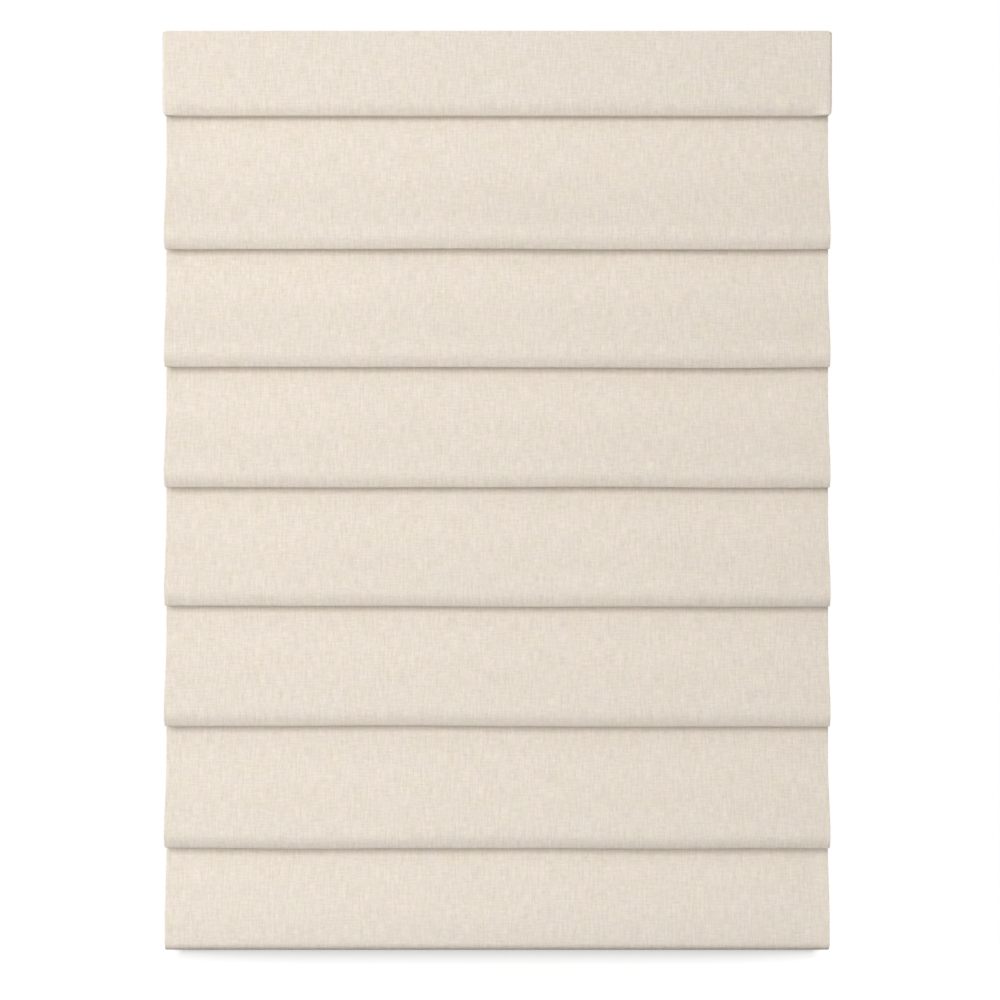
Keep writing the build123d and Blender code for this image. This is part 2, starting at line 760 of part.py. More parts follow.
# Cord anchors on the lowest rib: the cord's knot sits in a pocket under a small hole
with BuildPart() as cord_anchors:
    for cord_x in cord_xs:
        with BuildSketch(across(cord_x, pocket_y, rib_zs[-1])):
            Circle(saddle_outer)
            Circle(saddle_inner, mode=Mode.SUBTRACT)
            with Locations((-saddle_outer, 0)):
                Rectangle(2 * saddle_outer, 2 * saddle_outer, mode=Mode.SUBTRACT)
        extrude(amount=eye_length / 2, both=True)
        with BuildSketch(Plane((cord_x, cord_y, rib_zs[-1] - anchor_height / 2))):
            Circle(anchor_radius)
        extrude(amount=anchor_height)
        with BuildSketch(across(cord_x, pocket_y, rib_zs[-1])):
            Circle(saddle_inner)
        extrude(amount=eye_length, both=True, mode=Mode.SUBTRACT)
        with BuildSketch(Plane((cord_x, cord_y, rib_zs[-1] - anchor_height / 2))):
            Circle(anchor_pocket_radius)
        extrude(amount=anchor_pocket_depth, mode=Mode.SUBTRACT)
        with BuildSketch(Plane((cord_x, cord_y, rib_zs[-1]))):
            Circle(anchor_bore_radius)
        extrude(amount=anchor_height, mode=Mode.SUBTRACT)
cord_anchors.part.label = "cord_anchors"
export_step(cord_anchors.part, "parts/cord_anchors.step")

# Hem panel: one strip of cloth folded round the bottom bar, both edges in the last seam
hem_back_out = -2 * cloth_thickness - hem_layer_gap
hem_front_out = hem_back_out + bar_depth + 2 * (cloth_thickness + bar_play)
hem_round = (hem_front_out - hem_back_out - hem_flat) / 2
with BuildPart() as hem_panel:
    hem_corners = [
        (0, stitch_zs[-1]),
        (0, hem_bottom + hem_lean_start),
        (hem_front_out, hem_bottom + hem_lean_end),
        (hem_front_out, hem_bottom),
        (hem_back_out, hem_bottom),
        (hem_back_out, stitch_zs[-1]),
    ]
    hem_radii = [hem_bend_radius, hem_shoulder_radius, hem_round, hem_round]
    extrude(
        sheet_section(side_view, hem_corners, hem_radii, cloth_thickness), amount=cloth_half, both=True
    )
hem_panel.part.label = "hem_panel"
export_step(hem_panel.part, "parts/hem_panel.step")

# Bottom bar: a hollow weight bar that fills the bottom of the hem
bar_out = (hem_front_out + hem_back_out) / 2
bar_z = hem_bottom + cloth_thickness + bar_play + bar_height / 2
bar_half = rod_half
bar_round = hem_round - cloth_thickness - bar_play


def bar_section(plane, inset):
    """Outline of the bottom bar, set in all round by a distance."""
    with BuildSketch(plane) as section:
        with Locations((bar_out, bar_z)):
            Rectangle(bar_depth, bar_height)
        fillet(section.vertices().group_by(Axis.Y)[0], radius=bar_round)
        fillet(section.vertices().group_by(Axis.Y)[-1], radius=bar_top_radius)
        if inset > 0:
            offset(amount=-inset)
    return section.sketch


with BuildPart() as bottom_bar:
    extrude(bar_section(side_view, 0), amount=bar_half, both=True)
    extrude(bar_section(side_view, bar_wall), amount=bar_half, both=True, mode=Mode.SUBTRACT)
bottom_bar.part.label = "bottom_bar"
export_step(bottom_bar.part, "parts/bottom_bar.step")

# Bar plugs: moulded caps with a hollow spigot that close the bar's two ends
for side_name, side in sides:
    plug_plane = side_view.offset(-side * bar_half)
    spigot_inset = bar_wall + plug_play
    with BuildPart() as bar_plug:
        extrude(bar_section(plug_plane, 0), amount=-side * plug_flange)
        plug_face = bar_plug.faces().filter_by(Axis.X).sort_by(Axis.X)[-1 if side > 0 else 0]
        chamfer(plug_face.outer_wire().edges(), length=plug_chamfer)
        extrude(bar_section(plug_plane, spigot_inset), amount=side * plug_depth)
        extrude(
            bar_section(plug_plane, spigot_inset + plug_wall),
            amount=side * plug_depth,
            mode=Mode.SUBTRACT,
        )
    bar_plug.part.label = f"bar_plug_{side_name}"
    export_step(bar_plug.part, f"parts/bar_plug_{side_name}.step")
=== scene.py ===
"""Roman blind with soft hanging folds: its cloth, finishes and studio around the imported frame."""
import json
import logging
import math
from dataclasses import astuple, dataclass, field
from enum import Enum

import bpy
import numpy as np
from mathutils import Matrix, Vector


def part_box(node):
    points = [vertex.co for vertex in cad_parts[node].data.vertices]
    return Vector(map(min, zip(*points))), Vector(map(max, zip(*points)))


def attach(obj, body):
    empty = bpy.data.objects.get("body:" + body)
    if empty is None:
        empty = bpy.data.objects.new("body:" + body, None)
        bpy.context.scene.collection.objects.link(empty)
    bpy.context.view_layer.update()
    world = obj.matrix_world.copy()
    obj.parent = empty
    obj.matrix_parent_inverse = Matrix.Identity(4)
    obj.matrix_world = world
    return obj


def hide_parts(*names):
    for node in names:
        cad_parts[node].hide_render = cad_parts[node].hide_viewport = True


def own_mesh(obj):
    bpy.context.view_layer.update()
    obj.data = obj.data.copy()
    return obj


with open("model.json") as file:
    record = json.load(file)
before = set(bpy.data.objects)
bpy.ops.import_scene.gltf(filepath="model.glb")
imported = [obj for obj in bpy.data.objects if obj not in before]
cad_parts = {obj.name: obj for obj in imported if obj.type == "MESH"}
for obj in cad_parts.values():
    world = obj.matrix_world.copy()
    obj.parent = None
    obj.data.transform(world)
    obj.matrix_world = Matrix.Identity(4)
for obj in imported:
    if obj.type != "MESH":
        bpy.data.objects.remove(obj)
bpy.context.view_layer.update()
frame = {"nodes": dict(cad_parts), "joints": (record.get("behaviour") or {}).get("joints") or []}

Colour = tuple[float, float, float, float]
Triple = tuple[float, float, float]
Pair = tuple[float, float]

LOG = logging.getLogger("roman_blind")
WEAVE = "weave"
RIB_COUNT = 6
PACKED_CLOTH = 0.001
SHARP_ANGLE = math.radians(48)
NOISE_MEAN = 0.5
MIX_SHARE, MIX_FIRST, MIX_SECOND, MIX_RESULT = 0, 6, 7, 2
BLACK: Colour = (0, 0, 0, 1)
WHITE: Colour = (1, 1, 1, 1)


class Body(Enum):
    """Bodies of the blind that new pieces ride on."""

    FIXED = "root"
    BOTTOM = "bottom"


class Slot(Enum):
    """Material slots of the record, passed along with new pieces' finishes."""

    FACE_CLOTH = "face_cloth"
    LINING_CLOTH = "lining_cloth"
    TAPE_CLOTH = "tape_cloth"


class Hang(Enum):
    """How a sheet of cloth is held."""

    HUNG = "hung"
    FOLDED = "folded"


class Value:
    """One value in a material's nodes, on which Python arithmetic adds Math nodes."""

    def __init__(self, graph: "Graph", socket: bpy.types.NodeSocket) -> None:
        """Wrap an output socket of a graph."""
        self.graph = graph
        self.socket = socket

    def _maths(self, operation: str, *operands: "Value | float") -> "Value":
        """Add one Math node."""
        return self.graph.node("ShaderNodeMath", {"operation": operation}, dict(enumerate(operands)))

    def __add__(self, other: "Value | float") -> "Value":
        """Sum with another value or number."""
        return self._maths("ADD", self, other)

    __radd__ = __add__

    def __sub__(self, other: "Value | float") -> "Value":
        """Difference from another value or number."""
        return self._maths("SUBTRACT", self, other)

    def __rsub__(self, other: "Value | float") -> "Value":
        """Difference of a number from this value."""
        return self._maths("SUBTRACT", other, self)

    def __mul__(self, other: "Value | float") -> "Value":
        """Product with another value or number."""
        return self._maths("MULTIPLY", self, other)

    __rmul__ = __mul__

    def __abs__(self) -> "Value":
        """Size without the sign."""
        return self._maths("ABSOLUTE", self)

    def sine(self) -> "Value":
        """Sine of an angle in radians."""
        return self._maths("SINE", self)

    def at_least(self, other: "Value | float") -> "Value":
        """The larger of this and another value or number."""
        return self._maths("MAXIMUM", self, other)

    def swing(self, contrast: float) -> "Value":
        """A noise's swing to both sides of 0."""
        return (self - NOISE_MEAN) * contrast

    def spread(self, gain: float, middle: float = 0.5) -> "Value":
        """A noise's swing to both sides of a middle share."""
        return self * gain - (gain * NOISE_MEAN - middle)

    def outlet(self, name: int | str) -> "Value":
        """Another output of the same node."""
        return Value(self.graph, self.socket.node.outputs[name])


@dataclass(frozen=True)
class Pattern:
    """A noise over metres: its bumps per metre along each axis, its detail and its roughness."""

    per_metre: Triple
    detail: float = 2.0
    roughness: float = 0.5


class Graph:
    """The shader nodes of one material or world."""

    def __init__(self, tree: bpy.types.NodeTree) -> None:
        """Start with an empty tree."""
        self.tree = tree
        self.tree.nodes.clear()

    def node(
        self,
        kind: str,
        settings: dict[str, object] | None = None,
        sockets: dict[int | str, object] | None = None,
        outlet: int | str = 0,
    ) -> Value:
        """Add one node.

        Args:
            kind: the node's type.
            settings: its properties, set first; "stops" are a colour ramp's places and colours.
            sockets: a number, colour, vector or Value for each input, by name or index.
            outlet: the output that is handed back.

        Returns:
            The chosen output.
        """
        made = self.tree.nodes.new(kind)
        for name, setting in (settings or {}).items():
            if name == "stops":
                self._set_stops(made.color_ramp, setting)
            else:
                setattr(made, name, setting)
        for key, value in (sockets or {}).items():
            if isinstance(value, Value):
                self.tree.links.new(value.socket, made.inputs[key])
            else:
                made.inputs[key].default_value = value
        return Value(self, made.outputs[outlet] if made.outputs else None)

    @staticmethod
    def _set_stops(ramp: bpy.types.ColorRamp, stops: tuple[tuple[float, Colour], ...]) -> None:
        """Put a ramp's stops at their places.

        Args:
            ramp: the colour ramp.
            stops: the place and colour of each stop.
        """
        while len(ramp.elements) < len(stops):
            ramp.elements.new(1.0)
        for element, (place, colour) in zip(ramp.elements, stops):
            element.position = place
            element.color = colour

    def place(self) -> Value:
        """Place on the object, in metres."""
        return self.node("ShaderNodeTexCoord", outlet="Object")

    def stretch(self, vector: Value, per_metre: Triple) -> Value:
        """Scale a vector of metres to a pattern's units."""
        return self.node("ShaderNodeVectorMath", {"operation": "MULTIPLY"}, {0: vector, 1: per_metre})

    def noise(self, place: Value, pattern: Pattern) -> Value:
        """Add a noise.

        Args:
            place: where on the cloth or object, in metres.
            pattern: its scale, detail and roughness.

        Returns:
            The noise, from 0 to 1.
        """
        vector = self.stretch(place, pattern.per_metre)
        sockets = {"Vector": vector, "Scale": 1.0, "Detail": pattern.detail, "Roughness": pattern.roughness}
        return self.node("ShaderNodeTexNoise", {}, sockets)

    def mix(self, share: Value, first: Colour | Value, second: Colour | Value) -> Value:
        """Blend two colours by a share."""
        sockets = {MIX_SHARE: share, MIX_FIRST: first, MIX_SECOND: second}
        return self.node("ShaderNodeMix", {"data_type": "RGBA"}, sockets, MIX_RESULT)

    def tone(self, colour: Colour | Value, brightness: Value) -> Value:
        """Multiply a colour by a brightness.

        Args:
            colour: the colour.
            brightness: what it's multiplied by.

        Returns:
            The toned colour.
        """
        settings = {"data_type": "RGBA", "blend_type": "MULTIPLY"}
        sockets = {MIX_SHARE: 1.0, MIX_FIRST: colour, MIX_SECOND: brightness}
        return self.node("ShaderNodeMix", settings, sockets, MIX_RESULT)

    def bump(self, height: Value, distance: float, strength: float = 1.0) -> Value:
        """Raise the surface by a height, in units of a distance in metres."""
        sockets = {"Strength": strength, "Distance": distance, "Height": height}
        return self.node("ShaderNodeBump", {}, sockets, "Normal")

    def surface(self, **sockets: object) -> None:
        """End the material in one principled surface, its sockets named with underscores for spaces."""
        named = {name.replace("_", " "): value for name, value in sockets.items()}
        shader = self.node("ShaderNodeBsdfPrincipled", {}, named, "BSDF")
        self.node("ShaderNodeOutputMaterial", {}, {"Surface": shader})


@dataclass(frozen=True)
class Finish:
    """Base of every finish: builds its material once."""

    name: str

    def paint(self, graph: Graph) -> None:
        """Add the finish's nodes to a graph."""
        raise NotImplementedError

    def material(self) -> bpy.types.Material:
        """Make the finish's material on first use.

        Returns:
            The one material of that name.
        """
        found = bpy.data.materials.get(self.name)
        if found is None:
            found = bpy.data.materials.new(self.name)
            found.use_nodes = True
            self.paint(Graph(found.node_tree))
        return found


@dataclass(frozen=True)
class Yarn:
    """One kind of yarn in a weave: its noise, how far it tones the cloth and how far it stands up."""

    pattern: Pattern
    contrast: float
    relief: float


@dataclass(frozen=True)
class LinenFinish(Finish):
    """Linen-look cloth: fine upright ribs, short weft slubs and soft warm and cool patches.

    The yarns are the upright ribs, the fine warp and the weft, in that order.
    """

    pink: Colour = (0.843, 0.752, 0.681, 1)
    straw: Colour = (0.820, 0.757, 0.648, 1)
    grey: Colour = (0.772, 0.724, 0.648, 1)
    hue_pattern: Pattern = Pattern((36, 44, 0), 1.5, 0.6)
    hue_gain: float = 3.4
    patch_pattern: Pattern = Pattern((34, 26, 0), 2.0, 0.55)
    patch_gain: float = 1.8
    patch_middle: float = 0.25
    patch_contrast: float = 0.12
    yarns: tuple[Yarn, ...] = (
        Yarn(Pattern((330, 38, 0), 1.5, 0.6), 0.26, 0.5),
        Yarn(Pattern((900, 150, 0), 1.0), 0.22, 0.6),
        Yarn(Pattern((60, 420, 0), 1.5, 0.6), 0.22, 0.6),
    )
    slub_pattern: Pattern = Pattern((300, 16, 0), 0.0)
    slub_stops: tuple[tuple[float, Colour], ...] = ((0.66, BLACK), (0.78, WHITE))
    slub_relief: float = 0.3
    thread_pitch: float = 0.0011
    thread_relief: float = 0.5
    wobble_pattern: Pattern = Pattern((55, 55, 0), 1.0)
    wobble_angle: float = 9.0
    bump_depth: float = 0.00022

    def paint(self, graph: Graph) -> None:
        """Colour by patches and yarns, and raise the yarns.

        Args:
            graph: where the nodes go.
        """
        place = graph.node("ShaderNodeUVMap", {"uv_map": WEAVE})
        patches = graph.noise(place, self.patch_pattern)
        hue = graph.noise(place, self.hue_pattern)
        slubs = graph.noise(place, self.slub_pattern)
        slub_mask = graph.node("ShaderNodeValToRGB", {"stops": self.slub_stops}, {0: slubs})
        warm = graph.mix(hue.spread(self.hue_gain), self.pink, self.straw)
        cloth = graph.mix(patches.spread(self.patch_gain, self.patch_middle), warm, self.grey)
        brightness = 1.0 + patches.swing(self.patch_contrast)
        height = self._threads(graph, place) * self.thread_relief + slub_mask * self.slub_relief
        for yarn in self.yarns:
            noise = graph.noise(place, yarn.pattern)
            brightness = brightness + noise.swing(yarn.contrast)
            height = height + noise * yarn.relief
        graph.surface(
            Base_Color=graph.tone(cloth, brightness),
            Roughness=0.88,
            Sheen_Weight=0.12,
            Sheen_Roughness=0.6,
            Specular_IOR_Level=0.25,
            Normal=graph.bump(height, self.bump_depth, strength=0.7),
        )

    def _threads(self, graph: Graph, place: Value) -> Value:
        """Add the over-and-under relief of the single threads.

        Args:
            graph: where the nodes go.
            place: the place on the cut cloth.

        Returns:
            The relief.
        """
        turns = 2 * math.pi / self.thread_pitch
        wobble = graph.noise(place, self.wobble_pattern)
        across = graph.node("ShaderNodeSeparateXYZ", {}, {0: graph.stretch(place, (turns, turns, 0))})
        across_wave = (across + wobble * self.wobble_angle).sine()
        along_wave = (across.outlet("Y") + wobble * self.wobble_angle).sine()
        return across_wave * along_wave


@dataclass(frozen=True)
class CottonFinish(Finish):
    """Close cotton cloth such as lining, tape and thread, coloured nearly evenly."""

    colour: Colour = (0.80, 0.77, 0.71, 1)
    shade: Colour = (0.74, 0.71, 0.65, 1)
    thread_pitch: float = 0.0006
    twill: float = 0.0
    bump_depth: float = 0.00012
    yarn_pattern: Pattern = Pattern((700, 700, 60), 1.0)
    patch_pattern: Pattern = Pattern((14, 14, 11))
    patch_gain: float = 1.5
    least_tone: float = 0.95
    yarn_tone: float = 0.1
    wave_relief: float = 0.5

    def paint(self, graph: Graph) -> None:
        """Colour by slow patches and raise a fine diagonal or plain thread pattern.

        Args:
            graph: where the nodes go.
        """
        place = graph.place()
        turns = 2 * math.pi / self.thread_pitch
        across = graph.node("ShaderNodeSeparateXYZ", {}, {0: graph.stretch(place, (turns, turns, turns))})
        upright = across.outlet("Z")
        waves = (across + upright * self.twill).sine() * upright.sine()
        yarns = graph.noise(place, self.yarn_pattern)
        patches = graph.noise(place, self.patch_pattern)
        colour = graph.mix(patches.spread(self.patch_gain), self.colour, self.shade)
        graph.surface(
            Base_Color=graph.tone(colour, self.least_tone + yarns * self.yarn_tone),
            Roughness=0.9,
            Specular_IOR_Level=0.2,
            Sheen_Weight=0.08,
            Normal=graph.bump(waves * self.wave_relief + yarns, self.bump_depth, strength=0.6),
        )


@dataclass(frozen=True)
class PileFinish(Finish):
    """Hook or loop tape: a field of tiny standing loops or hooks, with painted shade in the gaps between
    them.
    """

    colour: Colour
    pitch: float
    bump_depth: float
    randomness: float = 0.6
    # painted shade: the pile's colour falls to least_tone in the gaps between the loops or hooks
    least_tone: float = 0.72
    painted_gap_shade: float = 0.3

    def paint(self, graph: Graph) -> None:
        """Scatter the pile as cells, and darken the colour between them as painted shade.

        Args:
            graph: where the nodes go.
        """
        vector = graph.stretch(graph.place(), (1 / self.pitch,) * 3)
        sockets = {"Vector": vector, "Scale": 1.0, "Randomness": self.randomness}
        height = 1.0 - graph.node("ShaderNodeTexVoronoi", {"feature": "F1"}, sockets, "Distance")
        graph.surface(
            # painted shade darkens the colour towards the gaps between the cells
            Base_Color=graph.tone(self.colour, self.least_tone + height * self.painted_gap_shade),
            Roughness=0.75,
            Normal=graph.bump(height, self.bump_depth),
        )


@dataclass(frozen=True)
class CoatedFinish(Finish):
    """Powder coat or moulded plastic: an even colour with a fine skin and slight unevenness of gloss."""

    colour: Colour
    gloss: float
    grain_per_metre: float
    bump_depth: float
    coat: float = 0.0
    cloud_pattern: Pattern = Pattern((28, 28, 28), 3.0)
    least_tone: float = 0.96
    cloud_tone: float = 0.08
    cloud_gloss: float = 0.2
    skin_gloss: float = 0.1

    def paint(self, graph: Graph) -> None:
        """Vary colour, roughness and skin by noise.

        Args:
            graph: where the nodes go.
        """
        place = graph.place()
        skin = graph.noise(place, Pattern((self.grain_per_metre,) * 3))
        cloud = graph.noise(place, self.cloud_pattern)
        graph.surface(
            Base_Color=graph.tone(self.colour, self.least_tone + cloud * self.cloud_tone),
            Roughness=self.gloss + cloud.swing(self.cloud_gloss) + skin.swing(self.skin_gloss),
            Coat_Weight=self.coat,
            Normal=graph.bump(skin, self.bump_depth),
        )


@dataclass(frozen=True)
class DrawnMetalFinish(Finish):
    """Bare or plated metal with drawing or rolling lines along the blind's width."""

    colour: Colour
    tint: Colour
    gloss: float
    bump_depth: float = 0.00003
    line_pattern: Pattern = Pattern((12, 1600, 1600))
    cloud_pattern: Pattern = Pattern((45, 45, 45), 3.0)
    tint_gain: float = 2.0
    line_gloss: float = 0.22
    cloud_gloss: float = 0.12

    def paint(self, graph: Graph) -> None:
        """Lay fine lines along X over a cloudy tint.

        Args:
            graph: where the nodes go.
        """
        place = graph.place()
        lines = graph.noise(place, self.line_pattern)
        cloud = graph.noise(place, self.cloud_pattern)
        graph.surface(
            Base_Color=graph.mix(cloud.spread(self.tint_gain), self.colour, self.tint),
            Metallic=1.0,
            Roughness=self.gloss + lines.swing(self.line_gloss) + cloud.swing(self.cloud_gloss),
            Normal=graph.bump(lines, self.bump_depth),
        )


@dataclass(frozen=True)
class FibreRodFinish(Finish):
    """Pultruded glass fibre: milky resin over straight fibres along the rod."""

    colour: Colour = (0.74, 0.74, 0.66, 1)
    streak: Colour = (0.62, 0.64, 0.55, 1)
    fibre_pattern: Pattern = Pattern((9, 2600, 2600))
    streak_gain: float = 1.8
    bump_depth: float = 0.00004

    def paint(self, graph: Graph) -> None:
        """Streak the colour and surface along X.

        Args:
            graph: where the nodes go.
        """
        fibres = graph.noise(graph.place(), self.fibre_pattern)
        graph.surface(
            Base_Color=graph.mix(fibres.spread(self.streak_gain), self.colour, self.streak),
            Roughness=0.38,
            Normal=graph.bump(fibres, self.bump_depth),
        )


LINEN = LinenFinish("oatmeal_linen")
LINING = CottonFinish("sateen_lining")
RIB_TAPE = CottonFinish("rib_tape_twill", (0.84, 0.83, 0.80, 1), (0.78, 0.77, 0.74, 1), 0.0011, 1.0, 0.0002)
THREAD = CottonFinish("sewing_thread", (0.82, 0.79, 0.72, 1), (0.70, 0.67, 0.60, 1), 0.0003, 1.0, 0.00008)
HOOKS = PileFinish("hook_tape_pile", (0.80, 0.79, 0.77, 1), 0.0017, 0.0007)
LOOPS = PileFinish("loop_tape_pile", (0.84, 0.83, 0.81, 1), 0.0008, 0.0003)
POWDER_COAT = CoatedFinish("white_powder_coat", (0.82, 0.82, 0.80, 1), 0.45, 1300.0, 0.00008)
WHITE_MOULDING = CoatedFinish("white_moulding", (0.80, 0.80, 0.78, 1), 0.40, 2600.0, 0.00002)
DARK_MOULDING = CoatedFinish("dark_moulding", (0.065, 0.068, 0.075, 1), 0.48, 1800.0, 0.00004)
ACETAL = CoatedFinish("natural_acetal", (0.74, 0.71, 0.63, 1), 0.30, 3000.0, 0.00001, 0.2)
ZINC = DrawnMetalFinish("bright_zinc", (0.62, 0.62, 0.63, 1), (0.57, 0.59, 0.63, 1), 0.32)
SPRING_STEEL = DrawnMetalFinish("spring_steel", (0.42, 0.43, 0.46, 1), (0.33, 0.35, 0.42, 1), 0.26)
ALUMINIUM = DrawnMetalFinish("mill_aluminium", (0.74, 0.74, 0.75, 1), (0.70, 0.71, 0.72, 1), 0.38)
FIBRE = FibreRodFinish("glass_fibre_rod")


def dress(finish: Finish, *nodes: str) -> None:
    """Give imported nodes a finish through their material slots.

    Args:
        finish: the finish.
        nodes: the nodes' names.
    """
    for node in nodes:
        slots = frame["nodes"][node].data.materials
        if not slots:
            slots.append(finish.material())
        for index in range(len(slots)):
            slots[index] = finish.material()
        LOG.info("%s: %s", node, finish.name)


def add_object(name: str, data: bpy.types.ID) -> bpy.types.Object:
    """Put new data into the scene.

    Args:
        name: the object's name.
        data: its mesh, lamp or camera.

    Returns:
        The new object.
    """
    made = bpy.data.objects.new(name, data)
    bpy.context.scene.collection.objects.link(made)
    return made


def finish_piece(piece: bpy.types.Object, body: Body | str) -> None:
    """Shade a new piece smoothly, let it ride on its body and report it.

    Args:
        piece: the new piece.
        body: what it rides on.
    """
    piece.data.shade_smooth()
    piece.data.set_sharp_from_angle(angle=SHARP_ANGLE)
    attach(piece, body.value if isinstance(body, Body) else body)
    LOG.info("%s: %d faces", piece.name, len(piece.data.polygons))


@dataclass(frozen=True)
class BentLine:
    """A line of straight runs joined by tangent arcs, as a sheet's section bends."""

    corners: tuple[Pair, ...]
    radii: tuple[float, ...] = ()
    run_step: float = 0.008
    turn_step: float = math.radians(9)
    shortest_step: float = 0.0009

    def points(self, counts: tuple[int, ...] = ()) -> np.ndarray:
        """Lay points along the line, closer together round its bends.

        Args:
            counts: steps on each run and arc in turn, or none to take as many as the form needs.

        Returns:
            The points, in order.
        """
        corners = [np.array(corner, float) for corner in self.corners]
        counts = counts or (0,) * (2 * len(self.radii) + 1)
        found = [corners[0]]
        for index, radius in enumerate(self.radii):
            arc = self._arc(*corners[index:index + 3], radius, counts[2 * index + 1])
            found += self._run(found[-1], arc[0], counts[2 * index]) + arc[1:]
        found += self._run(found[-1], corners[-1], counts[-1])
        return np.array(found)

    def _run(self, start: np.ndarray, end: np.ndarray, steps: int) -> list[np.ndarray]:
        """Points after the start of a straight run, up to its end."""
        pieces = steps or max(1, math.ceil(float(np.linalg.norm(end - start)) / self.run_step))
        return [start + (end - start) * piece / pieces for piece in range(1, pieces + 1)]

    def _arc(
        self, before: np.ndarray, corner: np.ndarray, after: np.ndarray, radius: float, steps: int
    ) -> list[np.ndarray]:
        """Round one corner off.

        Args:
            before: the corner before it.
            corner: the corner.
            after: the corner after it.
            radius: the arc's radius.
            steps: the number of steps, or 0 for as many as the arc needs.

        Returns:
            Points along the arc, its two tangent points included.
        """
        heading_in = (corner - before) / np.linalg.norm(corner - before)
        heading_out = (after - corner) / np.linalg.norm(after - corner)
        turn = math.acos(float(np.clip(heading_in @ heading_out, -1, 1)))
        side = 1.0 if heading_in[0] * heading_out[1] - heading_in[1] * heading_out[0] > 0 else -1.0
        start = corner - heading_in * radius * math.tan(turn / 2)
        left = np.array([-heading_in[1], heading_in[0]]) * side
        centre = start + left * radius
        fine = min(math.ceil(turn / self.turn_step), math.ceil(radius * turn / self.shortest_step))
        pieces = steps or max(2, fine)
        angles = [turn * piece / pieces for piece in range(pieces + 1)]
        return [
            centre - left * radius * math.cos(angle) + heading_in * radius * math.sin(angle)
            for angle in angles
        ]


def lengths_along(points: np.ndarray) -> np.ndarray:
    """Distance of each point along its line."""
    steps = np.linalg.norm(np.diff(points, axis=0), axis=1)
    return np.concatenate([[0.0], np.cumsum(steps)])


def right_hand(points: np.ndarray) -> np.ndarray:
    """Find the directions to the right of a line.

    Args:
        points: the line's points, in order.

    Returns:
        A unit direction at each point.
    """
    along = np.gradient(points, axis=0)
    along /= np.linalg.norm(along, axis=1, keepdims=True)
    return np.stack([along[:, 1], -along[:, 0]], axis=1)


def smooth_step(start: float, end: float, value: np.ndarray) -> np.ndarray:
    """Rise smoothly from 0 at the start to 1 at the end."""
    share = np.clip((value - start) / (end - start), 0, 1)
    return share * share * (3 - 2 * share)


def side_rounding(across: np.ndarray | float, half_width: float, span: float, roundness: float) -> np.ndarray:
    """Rise in a quarter round, from 0 a span before a cloth's side to nearly 1 at the side."""
    edge = np.clip((np.abs(across) - half_width + span) / span, 0, 1)
    return 1 - np.sqrt(1 - roundness * edge * edge)


def grid(*parts: np.ndarray) -> np.ndarray:
    """Join rows, columns or grids of numbers into one grid of points."""
    return np.stack(np.broadcast_arrays(*parts), axis=-1)


def lay_over(line: np.ndarray, depth: np.ndarray) -> tuple[np.ndarray, np.ndarray, np.ndarray]:
    """Lay a cloth's columns over its face line.

    Args:
        line: the face line, as distance out and height.
        depth: how far behind the face each column lies.

    Returns:
        Distance out and height of each point, and how squarely each row faces the room.
    """
    inward = right_hand(line)
    out = line[:, :1] + inward[:, :1] * depth[None]
    height = line[:, 1:] + inward[:, 1:] * depth[None]
    return out, height, np.clip(-inward[:, :1], 0, 1)


@dataclass(frozen=True)
class Undulation:
    """Smooth seeded waviness over a sheet, mostly between -1 and 1."""

    wavelength: float
    seed: int
    waves: int = 9
    stretch: Pair = (0.7, 1.6)

    def at(self, across: np.ndarray, along: np.ndarray) -> np.ndarray:
        """Add up the waves at places on the sheet.

        Args:
            across: metres across.
            along: metres along.

        Returns:
            The waviness at each place.
        """
        draw = np.random.default_rng(self.seed)
        total = np.zeros(np.broadcast(across, along).shape)
        for _ in range(self.waves):
            heading = draw.uniform(0, 2 * math.pi)
            phase = draw.uniform(0, 2 * math.pi)
            length = self.wavelength * draw.uniform(*self.stretch)
            reach = across * math.cos(heading) + along * math.sin(heading)
            total += np.cos(2 * math.pi / length * reach + phase)
        return total / math.sqrt(self.waves)

    def share(self, across: np.ndarray, along: np.ndarray) -> np.ndarray:
        """The waviness as a share from 0 to 1."""
        return 0.5 + 0.5 * np.clip(self.at(across, along), -1, 1)


@dataclass(frozen=True)
class Weft:
    """The columns of a cloth from selvedge to selvedge, with a hem turned to the back at each side."""

    half_width: float
    thickness: float
    hem_width: float = 0.0
    column_step: float = 0.012
    hem_columns: int = 5
    turn_columns: int = 5
    near_side: tuple[float, ...] = (0, 0.0004, 0.0009, 0.0016, 0.0025, 0.0036, 0.005, 0.0075, 0.011)

    def columns(self) -> tuple[np.ndarray, np.ndarray, np.ndarray]:
        """Lay out the columns.

        Returns:
            The place across, the depth behind the cloth's face and the distance across the cut
            cloth of each column.
        """
        if self.hem_width == 0:
            across = self._front(self.half_width)
            depth = np.full_like(across, self.thickness / 2)
        else:
            turn_x = self.half_width - self.thickness
            angles = np.linspace(math.pi / 2, -math.pi / 2, self.turn_columns)[1:-1]
            turn_across = turn_x + np.cos(angles) * self.thickness / 2
            turn_depth = self.thickness * (1 + np.sin(angles) / 2)
            hem = np.linspace(self.half_width - self.hem_width, turn_x, self.hem_columns)
            edge_across = np.concatenate([hem, turn_across])
            edge_depth = np.concatenate([np.full_like(hem, self.thickness * 1.5), turn_depth])
            front = self._front(turn_x)
            across = np.concatenate([-edge_across, front, edge_across[::-1]])
            depth = np.concatenate([edge_depth, np.full_like(front, self.thickness / 2), edge_depth[::-1]])
        return across, depth, lengths_along(np.stack([across, depth], axis=1))

    def _front(self, half: float) -> np.ndarray:
        """Space the columns over the front, closer together near the sides.

        Args:
            half: half the front's width.

        Returns:
            The columns' places across.
        """
        side = half - np.array(self.near_side)
        count = max(2, round(2 * side[-1] / self.column_step))
        middle = np.linspace(-side[-1], side[-1], count + 1)[1:-1]
        return np.concatenate([-side, middle, side[::-1]])


